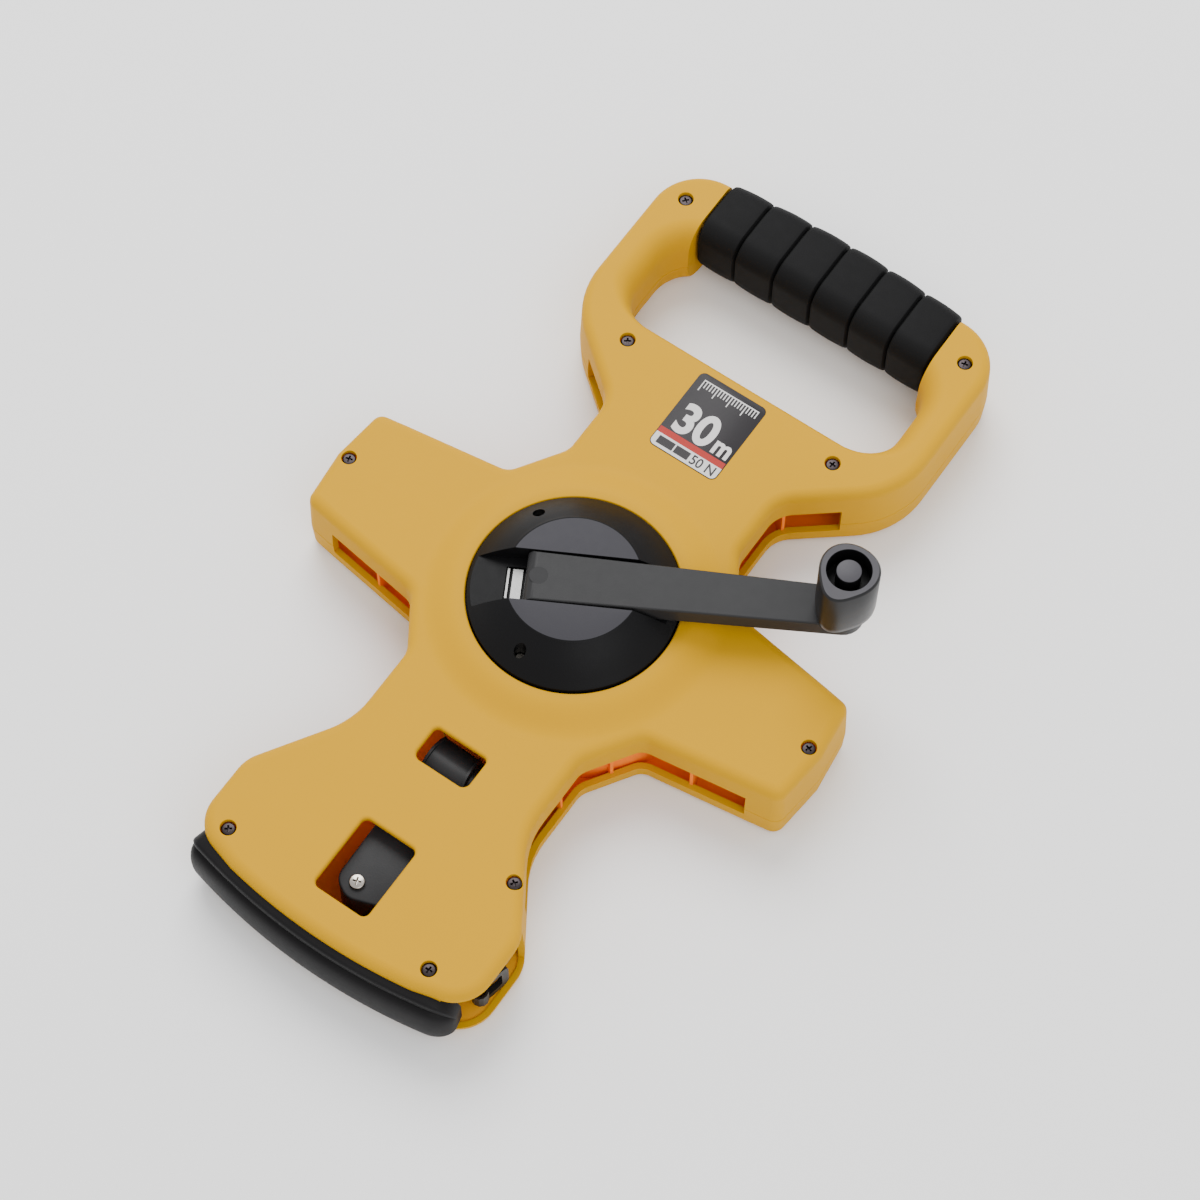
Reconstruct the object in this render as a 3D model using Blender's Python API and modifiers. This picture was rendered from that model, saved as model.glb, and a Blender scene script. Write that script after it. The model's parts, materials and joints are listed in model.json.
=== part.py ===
"""Surveyor's tape reel with a folding crank and a 3:1 planetary drive.

The reel lies on its back: +Z is the crank side, +Y points to the handle, and the drum turns
about the Z axis. The origin is on the back face, under the drum's axis. Dimensions below are
in millimetres, and the helpers scale each mesh to metres. Signs of turn: the drum winds the
tape in when it turns about -Z, seen from the crank side as clockwise.
"""
from math import acos, atan2, ceil, cos, degrees, hypot, pi, radians, sin, sqrt, tan

import bmesh
import bpy
from mathutils import Matrix, Vector

MM = 0.001
GAP = 0.3            # clearance between touching pieces

# Casing
FRONT_Z = 33.0       # front face
PARTING_Z = 12.5     # where the two shells meet
WALL = 2.2
PLATE = 2.0
EDGE_ROUND = 4.0     # rounded edge of the front face
BACK_ROUND = 1.6
SLOT_Z = (8.0, 21.5)             # side slots, through both shells' walls
MOUTH_Z = (4.2, 29.0)            # open corner beside the tape mouth
WINDOW_HALF = 11.0
WINDOWS = ((-80.6, -67.1), (-136.9, -107.3))     # low and high y
WINDOW_CORNER = 2.2

# Grip bar
BAR_HALF = 50.7      # half length of the recessed bar
BAR_Y = (150.6, 171.8)
BAR_Z = (6.0, 30.5)
GRIP_X = (-49.5, 50.0)
GRIP_Y = (146.8, 177.6)
GRIP_BOW = 2.3       # how much further the grip's middle stands out
GRIP_Z = (2.6, 34.2)
GRIP_ROUND = (8.5, 6.0)   # rear and front half

# Bumper along the foot of the casing
BUMPER_OUT = 6.0
BUMPER_X = (-55.0, 50.0)
BUMPER_Z = (3.0, 24.0)
BUMPER_LIP_OUT = 2.2
BUMPER_LIP_Z = 29.0
FOOT_LOW = -151.5    # lowest point of the curved foot
FOOT_RADIUS = 227.0

# Fasteners
CASE_SCREWS = ((61.2, 159.0), (-61.2, 159.0), (44.5, 97.0), (-44.5, 97.0), (98.3, 0.0),
               (-98.3, 0.0), (44.3, -97.9), (39.0, -139.1), (-46.5, -137.3))
POST_R, HOLE_R, HEAD_R, SHANK_R = 3.9, 1.8, 2.45, 1.45
COUNTERBORE_R = 2.85
HEAD_TOP = 1.0       # how far a head lies below the front face
HEAD_H = 1.8

# Boss, hub and crank
BOSS_R, BOSS_TOP_R, BOSS_TOP = 54.0, 41.5, 37.3
HUB_OPENING_R = 38.1
HUB_R, HUB_FLAT_R = 37.5, 24.0
HUB_RIM_Z, HUB_TOP_Z = 38.5, 49.1
HUB_SKIRT_Z, HUB_FLOOR_Z = 33.3, 37.5
CRANK_ANGLE = radians(28.5)      # the arm's direction from +X
ARM_Z = (41.2, 49.1)
ARM_HALF = (9.35, 7.6)           # half width at the hinge and at the knob
HINGE_S = -13.0                  # hinge axis, along the arm from the drum's axis
KNOB_S = 93.5
TROUGH_HALF, TROUGH_Z = 9.8, 40.8
RAMP_S, RAMP_Z = -23.5, 40.5
SPRING_S, SPRING_HALF = (-24.0, -18.2), 6.0
HUB_SCREW_R = 31.0
HUB_SCREW_ANGLES = [CRANK_ANGLE + radians(a) for a in (0.0, 120.0, 240.0)]
KNOB_Z = (49.5, 76.9)
KNOB_R, KNOB_LOBE = 11.0, 0.75

# Gear train: sun on the drum, planets on the crank, ring fixed to the casing
MODULE = 1.1
SUN_TEETH, PLANET_TEETH, RING_TEETH = 24, 12, 48
PRESSURE = radians(25.0)
ADDENDUM, DEDENDUM = 0.8 * MODULE, 1.05 * MODULE
BACKLASH = 0.22
PLANET_ORBIT = MODULE * (SUN_TEETH + PLANET_TEETH) / 2
GEAR_Z = (22.4, 29.5)
RING_OUTER, RING_FLANGE_R = 30.2, 50.0
RING_FLANGE_Z = 27.7
RING_SCREW_R = 46.0
CARRIER_Z = (30.2, 33.0)
PLANET_BORE, PLANET_PIN = 2.4, 2.0

# Drum and tape
SPINDLE_R, SPINDLE_TOP = 4.0, 36.4
DRUM_Z = (4.4, 20.0)
DRUM_FLANGE_R, DRUM_CORE_R, DRUM_FLANGE_T = 53.0, 21.0, 1.4
COIL_R = 50.5
TAPE_Z = (6.4, 19.4)
TAPE_T = 0.35
MOUTH = (57.0, -135.0)           # where the tape leaves the casing
ROLLER_R, ROLLER_S = 3.5, 19.0   # guide rollers, this far back from the mouth
TAPE_END_S = 12.3                # the tape stops this far back, at its end clip
END_RING_S = 5.0                 # the end ring's hinge, this far back
END_RING_ANGLE = radians(78.0)   # parked direction of the end ring, from +X
END_RING_HALF = 7.5              # half the ring's height
GUIDE_Z = (2.4, 25.0)
GUIDE_SCREW = (-1.0, -125.3)

YELLOW, BLACK, RUBBER = (0.95, 0.56, 0.06), (0.03, 0.03, 0.033), (0.025, 0.025, 0.027)
STEEL, DARK_STEEL, NYLON = (0.62, 0.62, 0.6), (0.05, 0.045, 0.045), (0.8, 0.78, 0.72)

for old in list(bpy.data.objects):
    bpy.data.objects.remove(old)

PARTS = bpy.data.collections.new("tape_reel")
CUTTERS = bpy.data.collections.new("cutters")
for collection in (PARTS, CUTTERS):
    bpy.context.scene.collection.children.link(collection)
CUTTERS.hide_render = True


# ---------------------------------------------------------------- helpers
def material(name, colour, roughness, metallic=0.0):
    made = bpy.data.materials.new(name)
    made.use_nodes = True
    shader = made.node_tree.nodes["Principled BSDF"]
    shader.inputs["Base Color"].default_value = (*colour, 1)
    shader.inputs["Roughness"].default_value = roughness
    shader.inputs["Metallic"].default_value = metallic
    return made


def link(name, mesh, looks=None):
    """An object of this mesh, among the parts, or among the cutters when it has no looks."""
    made = bpy.data.objects.new(name, mesh)
    if looks is None:
        CUTTERS.objects.link(made)
        made.hide_render = True
        made.display_type = "WIRE"
    else:
        PARTS.objects.link(made)
        mesh.materials.append(material(name, *looks))
    return made


def from_bmesh(name, shape, looks, matrix=None):
    bmesh.ops.transform(shape, matrix=matrix or Matrix(), verts=shape.verts)
    bmesh.ops.scale(shape, vec=(MM, MM, MM), verts=shape.verts)
    mesh = bpy.data.meshes.new(name)
    shape.to_mesh(mesh)
    shape.free()
    mesh.shade_smooth()
    mesh.set_sharp_from_angle(angle=radians(35))
    return link(name, mesh, looks)


def prism(name, loops, low, high, looks=None, matrix=None, bevel=None):
    """Flat outlines, filled where one loop lies in another by turns, drawn out from low to high.

    bevel is (width, segments, z) of a level whose edges are rounded."""
    flat = bpy.data.curves.new(name, "CURVE")
    flat.dimensions, flat.fill_mode, flat.extrude = "2D", "BOTH", (high - low) / 2
    for loop in loops:
        spline = flat.splines.new("POLY")
        spline.points.add(len(loop) - 1)
        spline.use_cyclic_u = True
        for point, (x, y) in zip(spline.points, loop):
            point.co = (x, y, 0, 1)
    guide = bpy.data.objects.new(name + "_outline", flat)
    CUTTERS.objects.link(guide)
    bpy.context.view_layer.update()
    filled = guide.evaluated_get(bpy.context.evaluated_depsgraph_get())
    mesh = bpy.data.meshes.new_from_object(filled)
    bpy.data.objects.remove(guide)
    shape = bmesh.new()
    shape.from_mesh(mesh)
    bmesh.ops.remove_doubles(shape, verts=shape.verts, dist=0.001)
    bmesh.ops.translate(shape, vec=(0, 0, (low + high) / 2), verts=shape.verts)
    bmesh.ops.recalc_face_normals(shape, faces=shape.faces)
    if bevel:
        width, segments, level = bevel
        edges = [e for e in shape.edges if all(abs(v.co.z - level) < 0.01 for v in e.verts)
                 and any(abs(f.normal.z) < 0.5 for f in e.link_faces)]
        bmesh.ops.bevel(shape, geom=edges, offset=width, segments=segments, profile=0.5,
                        affect="EDGES")
    return from_bmesh(name, shape, looks, matrix)


def turned(name, profile, looks=None, matrix=None, steps=40, closed=False):
    """A profile of (radius, z), down its outer side, turned about Z."""
    shape = bmesh.new()
    points = [shape.verts.new((r, 0, z)) for r, z in profile]
    for a, b in zip(points, points[1:] + points[:1] if closed else points[1:]):
        shape.edges.new((a, b))
    made = from_bmesh(name, shape, looks)
    screw = made.modifiers.new("turn", "SCREW")
    screw.steps = screw.render_steps = steps
    screw.use_merge_vertices = True
    screw.merge_threshold = 0.00001
    made.matrix_world = scaled(matrix)
    return made


def scaled(matrix):
    """A placing in millimetres as one in metres."""
    placed = (matrix or Matrix()).copy()
    placed.translation *= MM
    return placed


def ring(name, inner, outer, low, high, looks=None, matrix=None, steps=24):
    profile = [(outer, high), (outer, low), (inner, low), (inner, high)]
    return turned(name, profile, looks, matrix, steps, closed=True)


def cylinders(name, places, looks=None, sides=12):
    """Upright closed cylinders, each (x, y, radius, low, high), in one object."""
    shape = bmesh.new()
    for x, y, radius, low, high in places:
        bmesh.ops.create_cone(shape, cap_ends=True, segments=sides, radius1=radius,
                              radius2=radius, depth=high - low,
                              matrix=Matrix.Translation((x, y, (low + high) / 2)))
    return from_bmesh(name, shape, looks)


def pivot(piece, point):
    """Moves the piece's origin to a point in millimetres, with its mesh left in place."""
    shift = Vector(point) * MM
    piece.data.transform(Matrix.Translation(-shift))
    piece.location = shift


def box(name, low, high, looks=None, matrix=None):
    shape = bmesh.new()
    size = [b - a for a, b in zip(low, high)]
    middle = [(a + b) / 2 for a, b in zip(low, high)]
    bmesh.ops.create_cube(shape, size=1, matrix=Matrix.Translation(middle)
                          @ Matrix.Diagonal((*size, 1)))
    return from_bmesh(name, shape, looks, matrix)


def combine(target, tool, operation="DIFFERENCE"):
    boolean = target.modifiers.new(tool.name, "BOOLEAN")
    boolean.operation = operation
    boolean.object = tool
    return target


def rounded(corners, step=22.5):
    """The outline through (x, y, radius) corners, with each corner as an arc."""
    points = []
    for i, (x, y, radius) in enumerate(corners):
        before, after = corners[i - 1], corners[(i + 1) % len(corners)]
        a = Vector((before[0] - x, before[1] - y)).normalized()
        b = Vector((after[0] - x, after[1] - y)).normalized()
        angle = acos(max(-1.0, min(1.0, a.dot(b))))
        if radius == 0 or pi - angle < radians(1):
            points.append((x, y))
            continue
        reach = radius / tan(angle / 2)
        centre = Vector((x, y)) + (a + b).normalized() * radius / sin(angle / 2)
        start = Vector((x, y)) + a * reach - centre
        end = Vector((x, y)) + b * reach - centre
        first = atan2(start.y, start.x)
        turn = (atan2(end.y, end.x) - first + pi) % (2 * pi) - pi
        parts = max(1, ceil(abs(degrees(turn)) / step))
        points += [(centre.x + radius * cos(first + turn * k / parts),
                    centre.y + radius * sin(first + turn * k / parts))
                   for k in range(parts + 1)]
    return points


def inset(points, distance, closed=True):
    """The points of a clockwise outline moved inwards; a negative distance moves them out."""
    moved = []
    for i, point in enumerate(points):
        here = Vector(point)
        before = Vector(points[i - 1]) if i or closed else None
        after = Vector(points[(i + 1) % len(points)]) if i + 1 < len(points) or closed else None
        sides = [(here - before).normalized()] if before else []
        sides += [(after - here).normalized()] if after else []
        normals = [Vector((s.y, -s.x)) for s in sides]
        middle = sum(normals, Vector((0, 0))).normalized()
        moved.append(tuple(here + middle * distance / middle.dot(normals[0])))
    return moved


def rectangle(x0, x1, y0, y1, radius=0.0):
    corners = [(x0, y0, radius), (x0, y1, radius), (x1, y1, radius), (x1, y0, radius)]
    return rounded(corners, 30)


def foot_y(x):
    return FOOT_LOW + FOOT_RADIUS - sqrt(FOOT_RADIUS ** 2 - x * x)


def along(angle, s=0.0, t=0.0):
    """The point s along a direction from the drum's axis and t to its left."""
    return s * cos(angle) - t * sin(angle), s * sin(angle) + t * cos(angle)


CRANK = Matrix.Rotation(CRANK_ANGLE, 4, "Z")
YELLOW_LOOK, RUBBER_LOOK = (YELLOW, 0.4), (RUBBER, 0.6)
BLACK_LOOK, STEEL_LOOK = (BLACK, 0.45), (STEEL, 0.3, 1.0)
DARK_LOOK, NYLON_LOOK = (DARK_STEEL, 0.35, 1.0), (NYLON, 0.5)

# ---------------------------------------------------------------- casing outline
RIGHT_SIDE = [(72.6, 174.4, 21), (72.6, 101, 34), (56, 87.76, 0), (37.5, 73, 12), (37.5, 49, 8),
              (50, 30, 6), (90, 24.2, 0), (101.8, 22.3, 5), (104.2, 0, 0)]
RIGHT_FOOT = [(101.8, -22.3, 5), (90, -24.2, 0), (50, -30, 6), (37.5, -49, 8),
              (37.5, -80, 30), (50.5, -100, 0), (58.9, -113, 15), (58.9, -142.5, 15)]
FOOT = [(x, foot_y(x), 0) for x in (38, 26, 13, 0, -13, -26, -38)]
LEFT_SIDE = [(-x, y, r) for x, y, r in reversed(RIGHT_SIDE + RIGHT_FOOT)]
OUTLINE = rounded(RIGHT_SIDE + RIGHT_FOOT + FOOT + LEFT_SIDE)
OPENING = rounded([(56.3, 146.3, 16), (56.3, 107.6, 14), (-56.3, 107.6, 14), (-56.3, 146.3, 16)])


def band(wanted, inside, outside):
    """A strip over the casing's wall, along the outline's wanted points."""
    stretch = [Vector(p) for p in OUTLINE if wanted(*p)]
    stretch[0] = stretch[0].lerp(stretch[1], 0.03)
    stretch[-1] = stretch[-1].lerp(stretch[-2], 0.03)
    return inset(stretch, -outside, False) + inset(stretch, inside, False)[::-1]


def casing_cutters():
    """Cutters that both shells share."""
    hollow = prism("hollow", [inset(OUTLINE, WALL), inset(OPENING, -WALL)], PLATE,
                   FRONT_Z - PLATE)
    bar_zone = box("bar_zone", (-BAR_HALF - WALL, 138, -1), (BAR_HALF + WALL, 182, 40))
    bar_hollow = box("bar_hollow", (-BAR_HALF - 2 * WALL, BAR_Y[0] + WALL, BAR_Z[0] + WALL),
                     (BAR_HALF + 2 * WALL, BAR_Y[1] - WALL, BAR_Z[1] - WALL))
    combine(hollow, bar_zone)
    combine(hollow, bar_hollow, "UNION")
    recess = box("bar_recess", (-BAR_HALF, 138, -1), (BAR_HALF, 182, 40))
    combine(recess, box("bar_core", (-BAR_HALF - 5, BAR_Y[0], BAR_Z[0]),
                        (BAR_HALF + 5, BAR_Y[1], BAR_Z[1])))
    cutters = [hollow, recess]
    for side, name in ((1, "right"), (-1, "left")):
        upper = band(lambda x, y: 15 < y < 88 and 0 < x * side < 90.5, 7, 4)
        lower = band(lambda x, y: -101 < y < -15 and 0 < x * side < 90.5, 7, 4)
        cutters.append(prism(f"slot_upper_{name}", [upper], *SLOT_Z))
        cutters.append(prism(f"slot_lower_{name}", [lower], *SLOT_Z))
    mouth = band(lambda x, y: x > 51 and y < -108, 6.3, 4.7)
    cutters.append(prism("mouth_corner", [mouth], *MOUTH_Z))
    return cutters


def front_shell(cutters):
    shell = prism("front_shell", [OUTLINE, OPENING], PARTING_Z + GAP / 2, FRONT_Z, YELLOW_LOOK,
                  bevel=(EDGE_ROUND, 2, FRONT_Z))
    for tool in cutters:
        combine(shell, tool)
    combine(shell, turned("boss", [(BOSS_R, FRONT_Z - 0.5), (BOSS_R, FRONT_Z - 1.6),
                                   (HUB_OPENING_R - 3, FRONT_Z - 1.6),
                                   (HUB_OPENING_R - 3, BOSS_TOP), (BOSS_TOP_R, BOSS_TOP),
                                   (BOSS_R - 4, FRONT_Z + 1.0)], closed=True), "UNION")
    posts = [(x, y, POST_R, PARTING_Z + GAP, FRONT_Z - PLATE / 2) for x, y in CASE_SCREWS]
    posts += [(*along(a, RING_SCREW_R), 3.6, GEAR_Z[1] + GAP, FRONT_Z - PLATE / 2)
              for a in RING_ANGLES]
    combine(shell, cylinders("front_posts", posts), "UNION")
    holes = [(x, y, HOLE_R, 0, 40) for x, y in CASE_SCREWS]
    holes += [(*along(a, RING_SCREW_R), 1.5, 20, FRONT_Z) for a in RING_ANGLES]
    combine(shell, cylinders("front_holes", holes))
    sink = FRONT_Z - HEAD_TOP - HEAD_H - GAP
    combine(shell, cylinders("counterbores", [(x, y, COUNTERBORE_R, sink, 40)
                                              for x, y in CASE_SCREWS]))
    combine(shell, cylinders("hub_opening", [(0, 0, HUB_OPENING_R, 20, 45)], sides=40))
    windows = [rectangle(-WINDOW_HALF, WINDOW_HALF, *y, WINDOW_CORNER) for y in WINDOWS]
    combine(shell, prism("windows", windows, 28, 40))
    combine(shell, prism("label_recess", [LABEL_OUTLINE], FRONT_Z - 0.7, 40))


def rear_shell(cutters):
    shell = prism("rear_shell", [OUTLINE, OPENING], 0, PARTING_Z - GAP / 2, YELLOW_LOOK,
                  bevel=(BACK_ROUND, 1, 0))
    for tool in cutters:
        combine(shell, tool)
    posts = [(x, y, POST_R, PLATE / 2, PARTING_Z - GAP) for x, y in CASE_SCREWS]
    posts.append((0, 0, 9.0, PLATE / 2, DRUM_Z[0] - GAP))
    combine(shell, cylinders("rear_posts", posts), "UNION")
    holes = [(x, y, HOLE_R, 3.6, 20) for x, y in CASE_SCREWS]
    holes.append((0, 0, SPINDLE_R + GAP, PLATE, 20))
    combine(shell, cylinders("rear_holes", holes))


def screw(name, x, y, head_r, head_low, head_high, shank_r, tip, looks):
    """A screw with its head from head_low to head_high and its tip below or above them."""
    top_down = tip < head_low
    profile = [(0, head_high), (head_r, head_high), (head_r, head_low), (shank_r, head_low),
               (shank_r, tip), (0, tip)]
    if not top_down:
        profile = [(0, tip), (shank_r, tip), (shank_r, head_high), (head_r, head_high),
                   (head_r, head_low), (0, head_low)]
    turned(name, profile, looks, Matrix.Translation((x, y, 0)), steps=10)


def fasteners():
    for i, (x, y) in enumerate(CASE_SCREWS, 1):
        top = FRONT_Z - HEAD_TOP
        screw(f"case_screw_{i}", x, y, HEAD_R, top - HEAD_H, top, SHANK_R, 4.2, DARK_LOOK)
    for i, angle in enumerate(RING_ANGLES, 1):
        x, y = along(angle, RING_SCREW_R)
        screw(f"ring_screw_{i}", x, y, 2.4, RING_FLANGE_Z - GAP - 1.4, RING_FLANGE_Z - GAP,
              1.15, FRONT_Z - 1, STEEL_LOOK)
    for i, angle in enumerate(HUB_SCREW_ANGLES, 1):
        x, y = along(angle, HUB_SCREW_R)
        screw(f"hub_screw_{i}", x, y, 2.0, HUB_FLOOR_Z - 1.6, HUB_FLOOR_Z - 0.2, 1.1,
              CARRIER_Z[0] + 0.3, STEEL_LOOK)


# ---------------------------------------------------------------- handle, label and foot
LABEL_OUTLINE = rectangle(-15.0, 14.2, 66.0, 102.0, 2.5)


def grips():
    """Two rubber halves round the bar, split where the shells part."""
    count = 8
    span = GRIP_X[1] - GRIP_X[0]
    crest = [(GRIP_X[0] + span * k / count, GRIP_Y[1] + GRIP_BOW * sin(pi * k / count))
             for k in range(count + 1)]
    plan = [(GRIP_X[1], GRIP_Y[0]), (GRIP_X[0], GRIP_Y[0])] + crest
    channel = box("grip_channel", (-60, BAR_Y[0] - GAP, BAR_Z[0] - GAP),
                  (60, BAR_Y[1] + GAP, BAR_Z[1] + GAP))
    halves = (("grip_front", PARTING_Z + GAP / 2, GRIP_Z[1], GRIP_ROUND[1], GRIP_Z[1]),
              ("grip_rear", GRIP_Z[0], PARTING_Z - GAP / 2, GRIP_ROUND[0], GRIP_Z[0]))
    for name, low, high, radius, level in halves:
        half = prism(name, [plan], low, high, RUBBER_LOOK, bevel=(radius, 2, level))
        combine(half, channel)


def bumper():
    count = 14
    xs = [BUMPER_X[0] + (BUMPER_X[1] - BUMPER_X[0]) * k / count for k in range(count + 1)]
    inner = [(-52, -136)] + [(x, foot_y(x) + 4) for x in xs if -44 < x < 44] + [(50, -143)]
    outer = [(x, foot_y(x) - BUMPER_OUT) for x in xs[1:-1]]
    lip = [(x, foot_y(x) - BUMPER_LIP_OUT) for x in xs[1:-1]]
    keep_out = prism("bumper_seat", [inset(OUTLINE, -GAP)], -5, 40)
    start, end = (-57.5, -145.0), (50.5, foot_y(50) - BUMPER_OUT / 2)
    body = prism("bumper", [inner[::-1] + [start] + outer + [end]], *BUMPER_Z, RUBBER_LOOK)
    combine(body, prism("bumper_lip", [inner[::-1] + lip], BUMPER_Z[1] - 1, BUMPER_LIP_Z),
            "UNION")
    combine(body, keep_out)


# ---------------------------------------------------------------- gears
def involute(angle_from_base):
    return tan(angle_from_base) - angle_from_base


def gear_outline(teeth, tip, root, thickness_change, phase):
    """A closed outline of teeth: phase turns the middle of the first tooth to that angle."""
    pitch_r = MODULE * teeth / 2
    base_r = pitch_r * cos(PRESSURE)
    half_at_pitch = (pi * MODULE / 2 + thickness_change) / (2 * pitch_r)

    def half_angle(radius):
        reach = acos(min(1.0, base_r / max(radius, base_r)))
        return half_at_pitch + involute(PRESSURE) - involute(reach)

    low, high = min(tip, root), max(tip, root)
    levels = [low, pitch_r, high]
    points = []
    for tooth in range(teeth):
        middle = phase + 2 * pi * tooth / teeth
        flank = [(r, half_angle(r)) for r in levels]
        points += [(r * cos(middle - a), r * sin(middle - a)) for r, a in flank]
        points += [(r * cos(middle + a), r * sin(middle + a)) for r, a in reversed(flank)]
    return points


def circle(radius, count, x=0.0, y=0.0):
    return [(x + radius * cos(2 * pi * k / count), y + radius * sin(2 * pi * k / count))
            for k in range(count)]


PLANET_ANGLES = [CRANK_ANGLE + radians(150 + 120 * k) for k in range(3)]
RING_ANGLES = [radians(a) for a in (90.0, 210.0, 330.0)]


def gears():
    first = PLANET_ANGLES[0]
    sun_r, planet_r = MODULE * SUN_TEETH / 2, MODULE * PLANET_TEETH / 2
    ring_r = MODULE * RING_TEETH / 2
    prism("sun_gear", [gear_outline(SUN_TEETH, sun_r + ADDENDUM, sun_r - DEDENDUM, -BACKLASH,
                                    first), circle(SPINDLE_R + 0.5, 20)], *GEAR_Z, NYLON_LOOK)
    for i, angle in enumerate(PLANET_ANGLES, 1):
        x, y = along(angle, PLANET_ORBIT)
        facing_space = angle + pi + pi / PLANET_TEETH
        teeth = gear_outline(PLANET_TEETH, planet_r + ADDENDUM, planet_r - DEDENDUM, -BACKLASH,
                             facing_space)
        outline = [(x + px, y + py) for px, py in teeth]
        planet = prism(f"planet_gear_{i}", [outline, circle(PLANET_BORE, 12, x, y)],
                       GEAR_Z[0] + 0.2, GEAR_Z[1], NYLON_LOOK)
        pivot(planet, (x, y, GEAR_Z[0]))
    # The ring's teeth point inwards, so its outline is the space that such a gear would fill.
    space = gear_outline(RING_TEETH, ring_r + DEDENDUM, ring_r - ADDENDUM, BACKLASH,
                         first + pi / RING_TEETH)
    gear = prism("ring_gear", [circle(RING_OUTER, 48), space], *GEAR_Z, BLACK_LOOK)
    flange = prism("ring_flange", [circle(RING_FLANGE_R, 48), circle(RING_OUTER - 0.8, 48)],
                   RING_FLANGE_Z, GEAR_Z[1])
    combine(gear, flange, "UNION")
    combine(gear, cylinders("ring_holes", [(*along(a, RING_SCREW_R), 1.5, 20, 40)
                                           for a in RING_ANGLES]))


# ---------------------------------------------------------------- drum and tape
def drum():
    low, high = DRUM_Z
    turned("spindle", [(0, SPINDLE_TOP), (SPINDLE_R, SPINDLE_TOP), (SPINDLE_R, PLATE + GAP),
                       (0, PLATE + GAP)], STEEL_LOOK, steps=20)
    ring("drum_bush", SPINDLE_R + GAP, 6.2, low, high, NYLON_LOOK, steps=20)
    floor = low + DRUM_FLANGE_T
    turned("drum", [(9, high), (9, floor), (DRUM_CORE_R - 3, floor), (DRUM_CORE_R - 3, high),
                    (DRUM_CORE_R, high), (DRUM_CORE_R, floor), (DRUM_FLANGE_R, floor),
                    (DRUM_FLANGE_R, low), (6.5, low), (6.5, high)], BLACK_LOOK, closed=True)
    ring("drum_flange", 6.5, DRUM_FLANGE_R, high + GAP, high + GAP + DRUM_FLANGE_T, BLACK_LOOK,
         steps=40)
    ring("tape_coil", DRUM_CORE_R + GAP, COIL_R, *TAPE_Z, (YELLOW, 0.35), steps=40)


def tape_frame():
    """Places a piece on the tape's straight run: +X to the mouth, +Y to its outer side."""
    mouth = Vector(MOUTH)
    back = atan2(-mouth.y, -mouth.x) + asin_ratio(COIL_R + GAP + TAPE_T / 2, mouth.length)
    return Matrix.Translation((*MOUTH, 0)) @ Matrix.Rotation(back + pi, 4, "Z")


def asin_ratio(opposite, hypotenuse):
    return atan2(opposite, sqrt(hypotenuse ** 2 - opposite ** 2))


def tape_path():
    frame = tape_frame()
    run = sqrt(Vector(MOUTH).length ** 2 - COIL_R ** 2)
    half = TAPE_T / 2
    box("tape_lead", (-run, -half, TAPE_Z[0]), (-TAPE_END_S, half, TAPE_Z[1]), (YELLOW, 0.35),
        frame)
    outline = rounded([(-9.4, -61, 2), (6, -61, 2), (30, -90, 3), (40, -104.5, 3),
                       (50.0, -108, 2), (52.4, -113, 2), (52.4, -120.5, 2), (41.0, -131.5, 3),
                       (12, -131, 2), (-9.4, -131, 6)], 30)
    guide = prism("tape_guide", [outline], *GUIDE_Z, BLACK_LOOK)
    combine(guide, box("guide_slot", (-110, -1.2, 5.2), (8, 1.2, 40), matrix=frame))
    combine(guide, box("wiper_pocket", (-80, -4, 5.2), (-70, 4, 40), matrix=frame))
    offset = ROLLER_R + TAPE_T / 2 + GAP
    places = [frame @ Vector((-ROLLER_S, side * offset, 0)) for side in (1, -1)]
    for i, p in enumerate(places, 1):
        combine(guide, cylinders(f"roller_pocket_{i}", [(p.x, p.y, ROLLER_R + 0.7, 5.2, 40)]))
    screw_x, screw_y = GUIDE_SCREW
    combine(guide, cylinders("guide_screw_hole", [(screw_x, screw_y, 1.8, 0, 40)]))
    screw("guide_screw", screw_x, screw_y, 2.9, GUIDE_Z[1] + GAP, GUIDE_Z[1] + 1.6, 1.4, 3.0,
          STEEL_LOOK)
    for i, place in enumerate(places, 1):
        move = Matrix.Translation((place.x, place.y, 0))
        ring(f"mouth_roller_{i}", 1.6, ROLLER_R, TAPE_Z[0] - 0.5, TAPE_Z[1] + 0.5, NYLON_LOOK,
             move, steps=16)
        cylinders(f"roller_pin_{i}", [(place.x, place.y, 1.25, 5.5, 24)], STEEL_LOOK)
    for i, side in enumerate((1, -1), 1):
        low, high = sorted((side * 0.7, side * 3.4))
        box(f"wiper_pad_{i}", (-79, low, 6), (-71, high, 20), ((0.75, 0.72, 0.65), 0.9), frame)
    end_ring(frame)


def end_ring(frame):
    """A clip with an eye on the tape's end, and the ring that swings in it."""
    middle = sum(TAPE_Z) / 2
    clip_z = (middle - 3.7, middle + 3.7)
    clip = box("tape_end_clip", (-TAPE_END_S + GAP, -1, clip_z[0]), (-END_RING_S - 2.6, 1,
                                                                      clip_z[1]), STEEL_LOOK, frame)
    eye = frame @ Vector((-END_RING_S, 0, 0))
    combine(clip, cylinders("clip_eye", [(eye.x, eye.y, 3.1, *clip_z)]), "UNION")
    combine(clip, cylinders("clip_eye_hole", [(eye.x, eye.y, 2.3, 0, 30)]))
    high = END_RING_HALF
    loop = rectangle(-1.5, 12.1, -high, high, 3)
    hole = rectangle(1.1, 9.1, 3 - high, high - 3, 1.2)
    parked = Matrix.Rotation(END_RING_ANGLE, 4, "Z")
    upright = Matrix.Translation((eye.x, eye.y, middle)) @ parked @ Matrix.Rotation(pi / 2, 4, "X")
    made = prism("end_ring", [loop, hole], -1.1, 1.1, BLACK_LOOK, upright)
    pivot(made, (eye.x, eye.y, middle))


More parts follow.
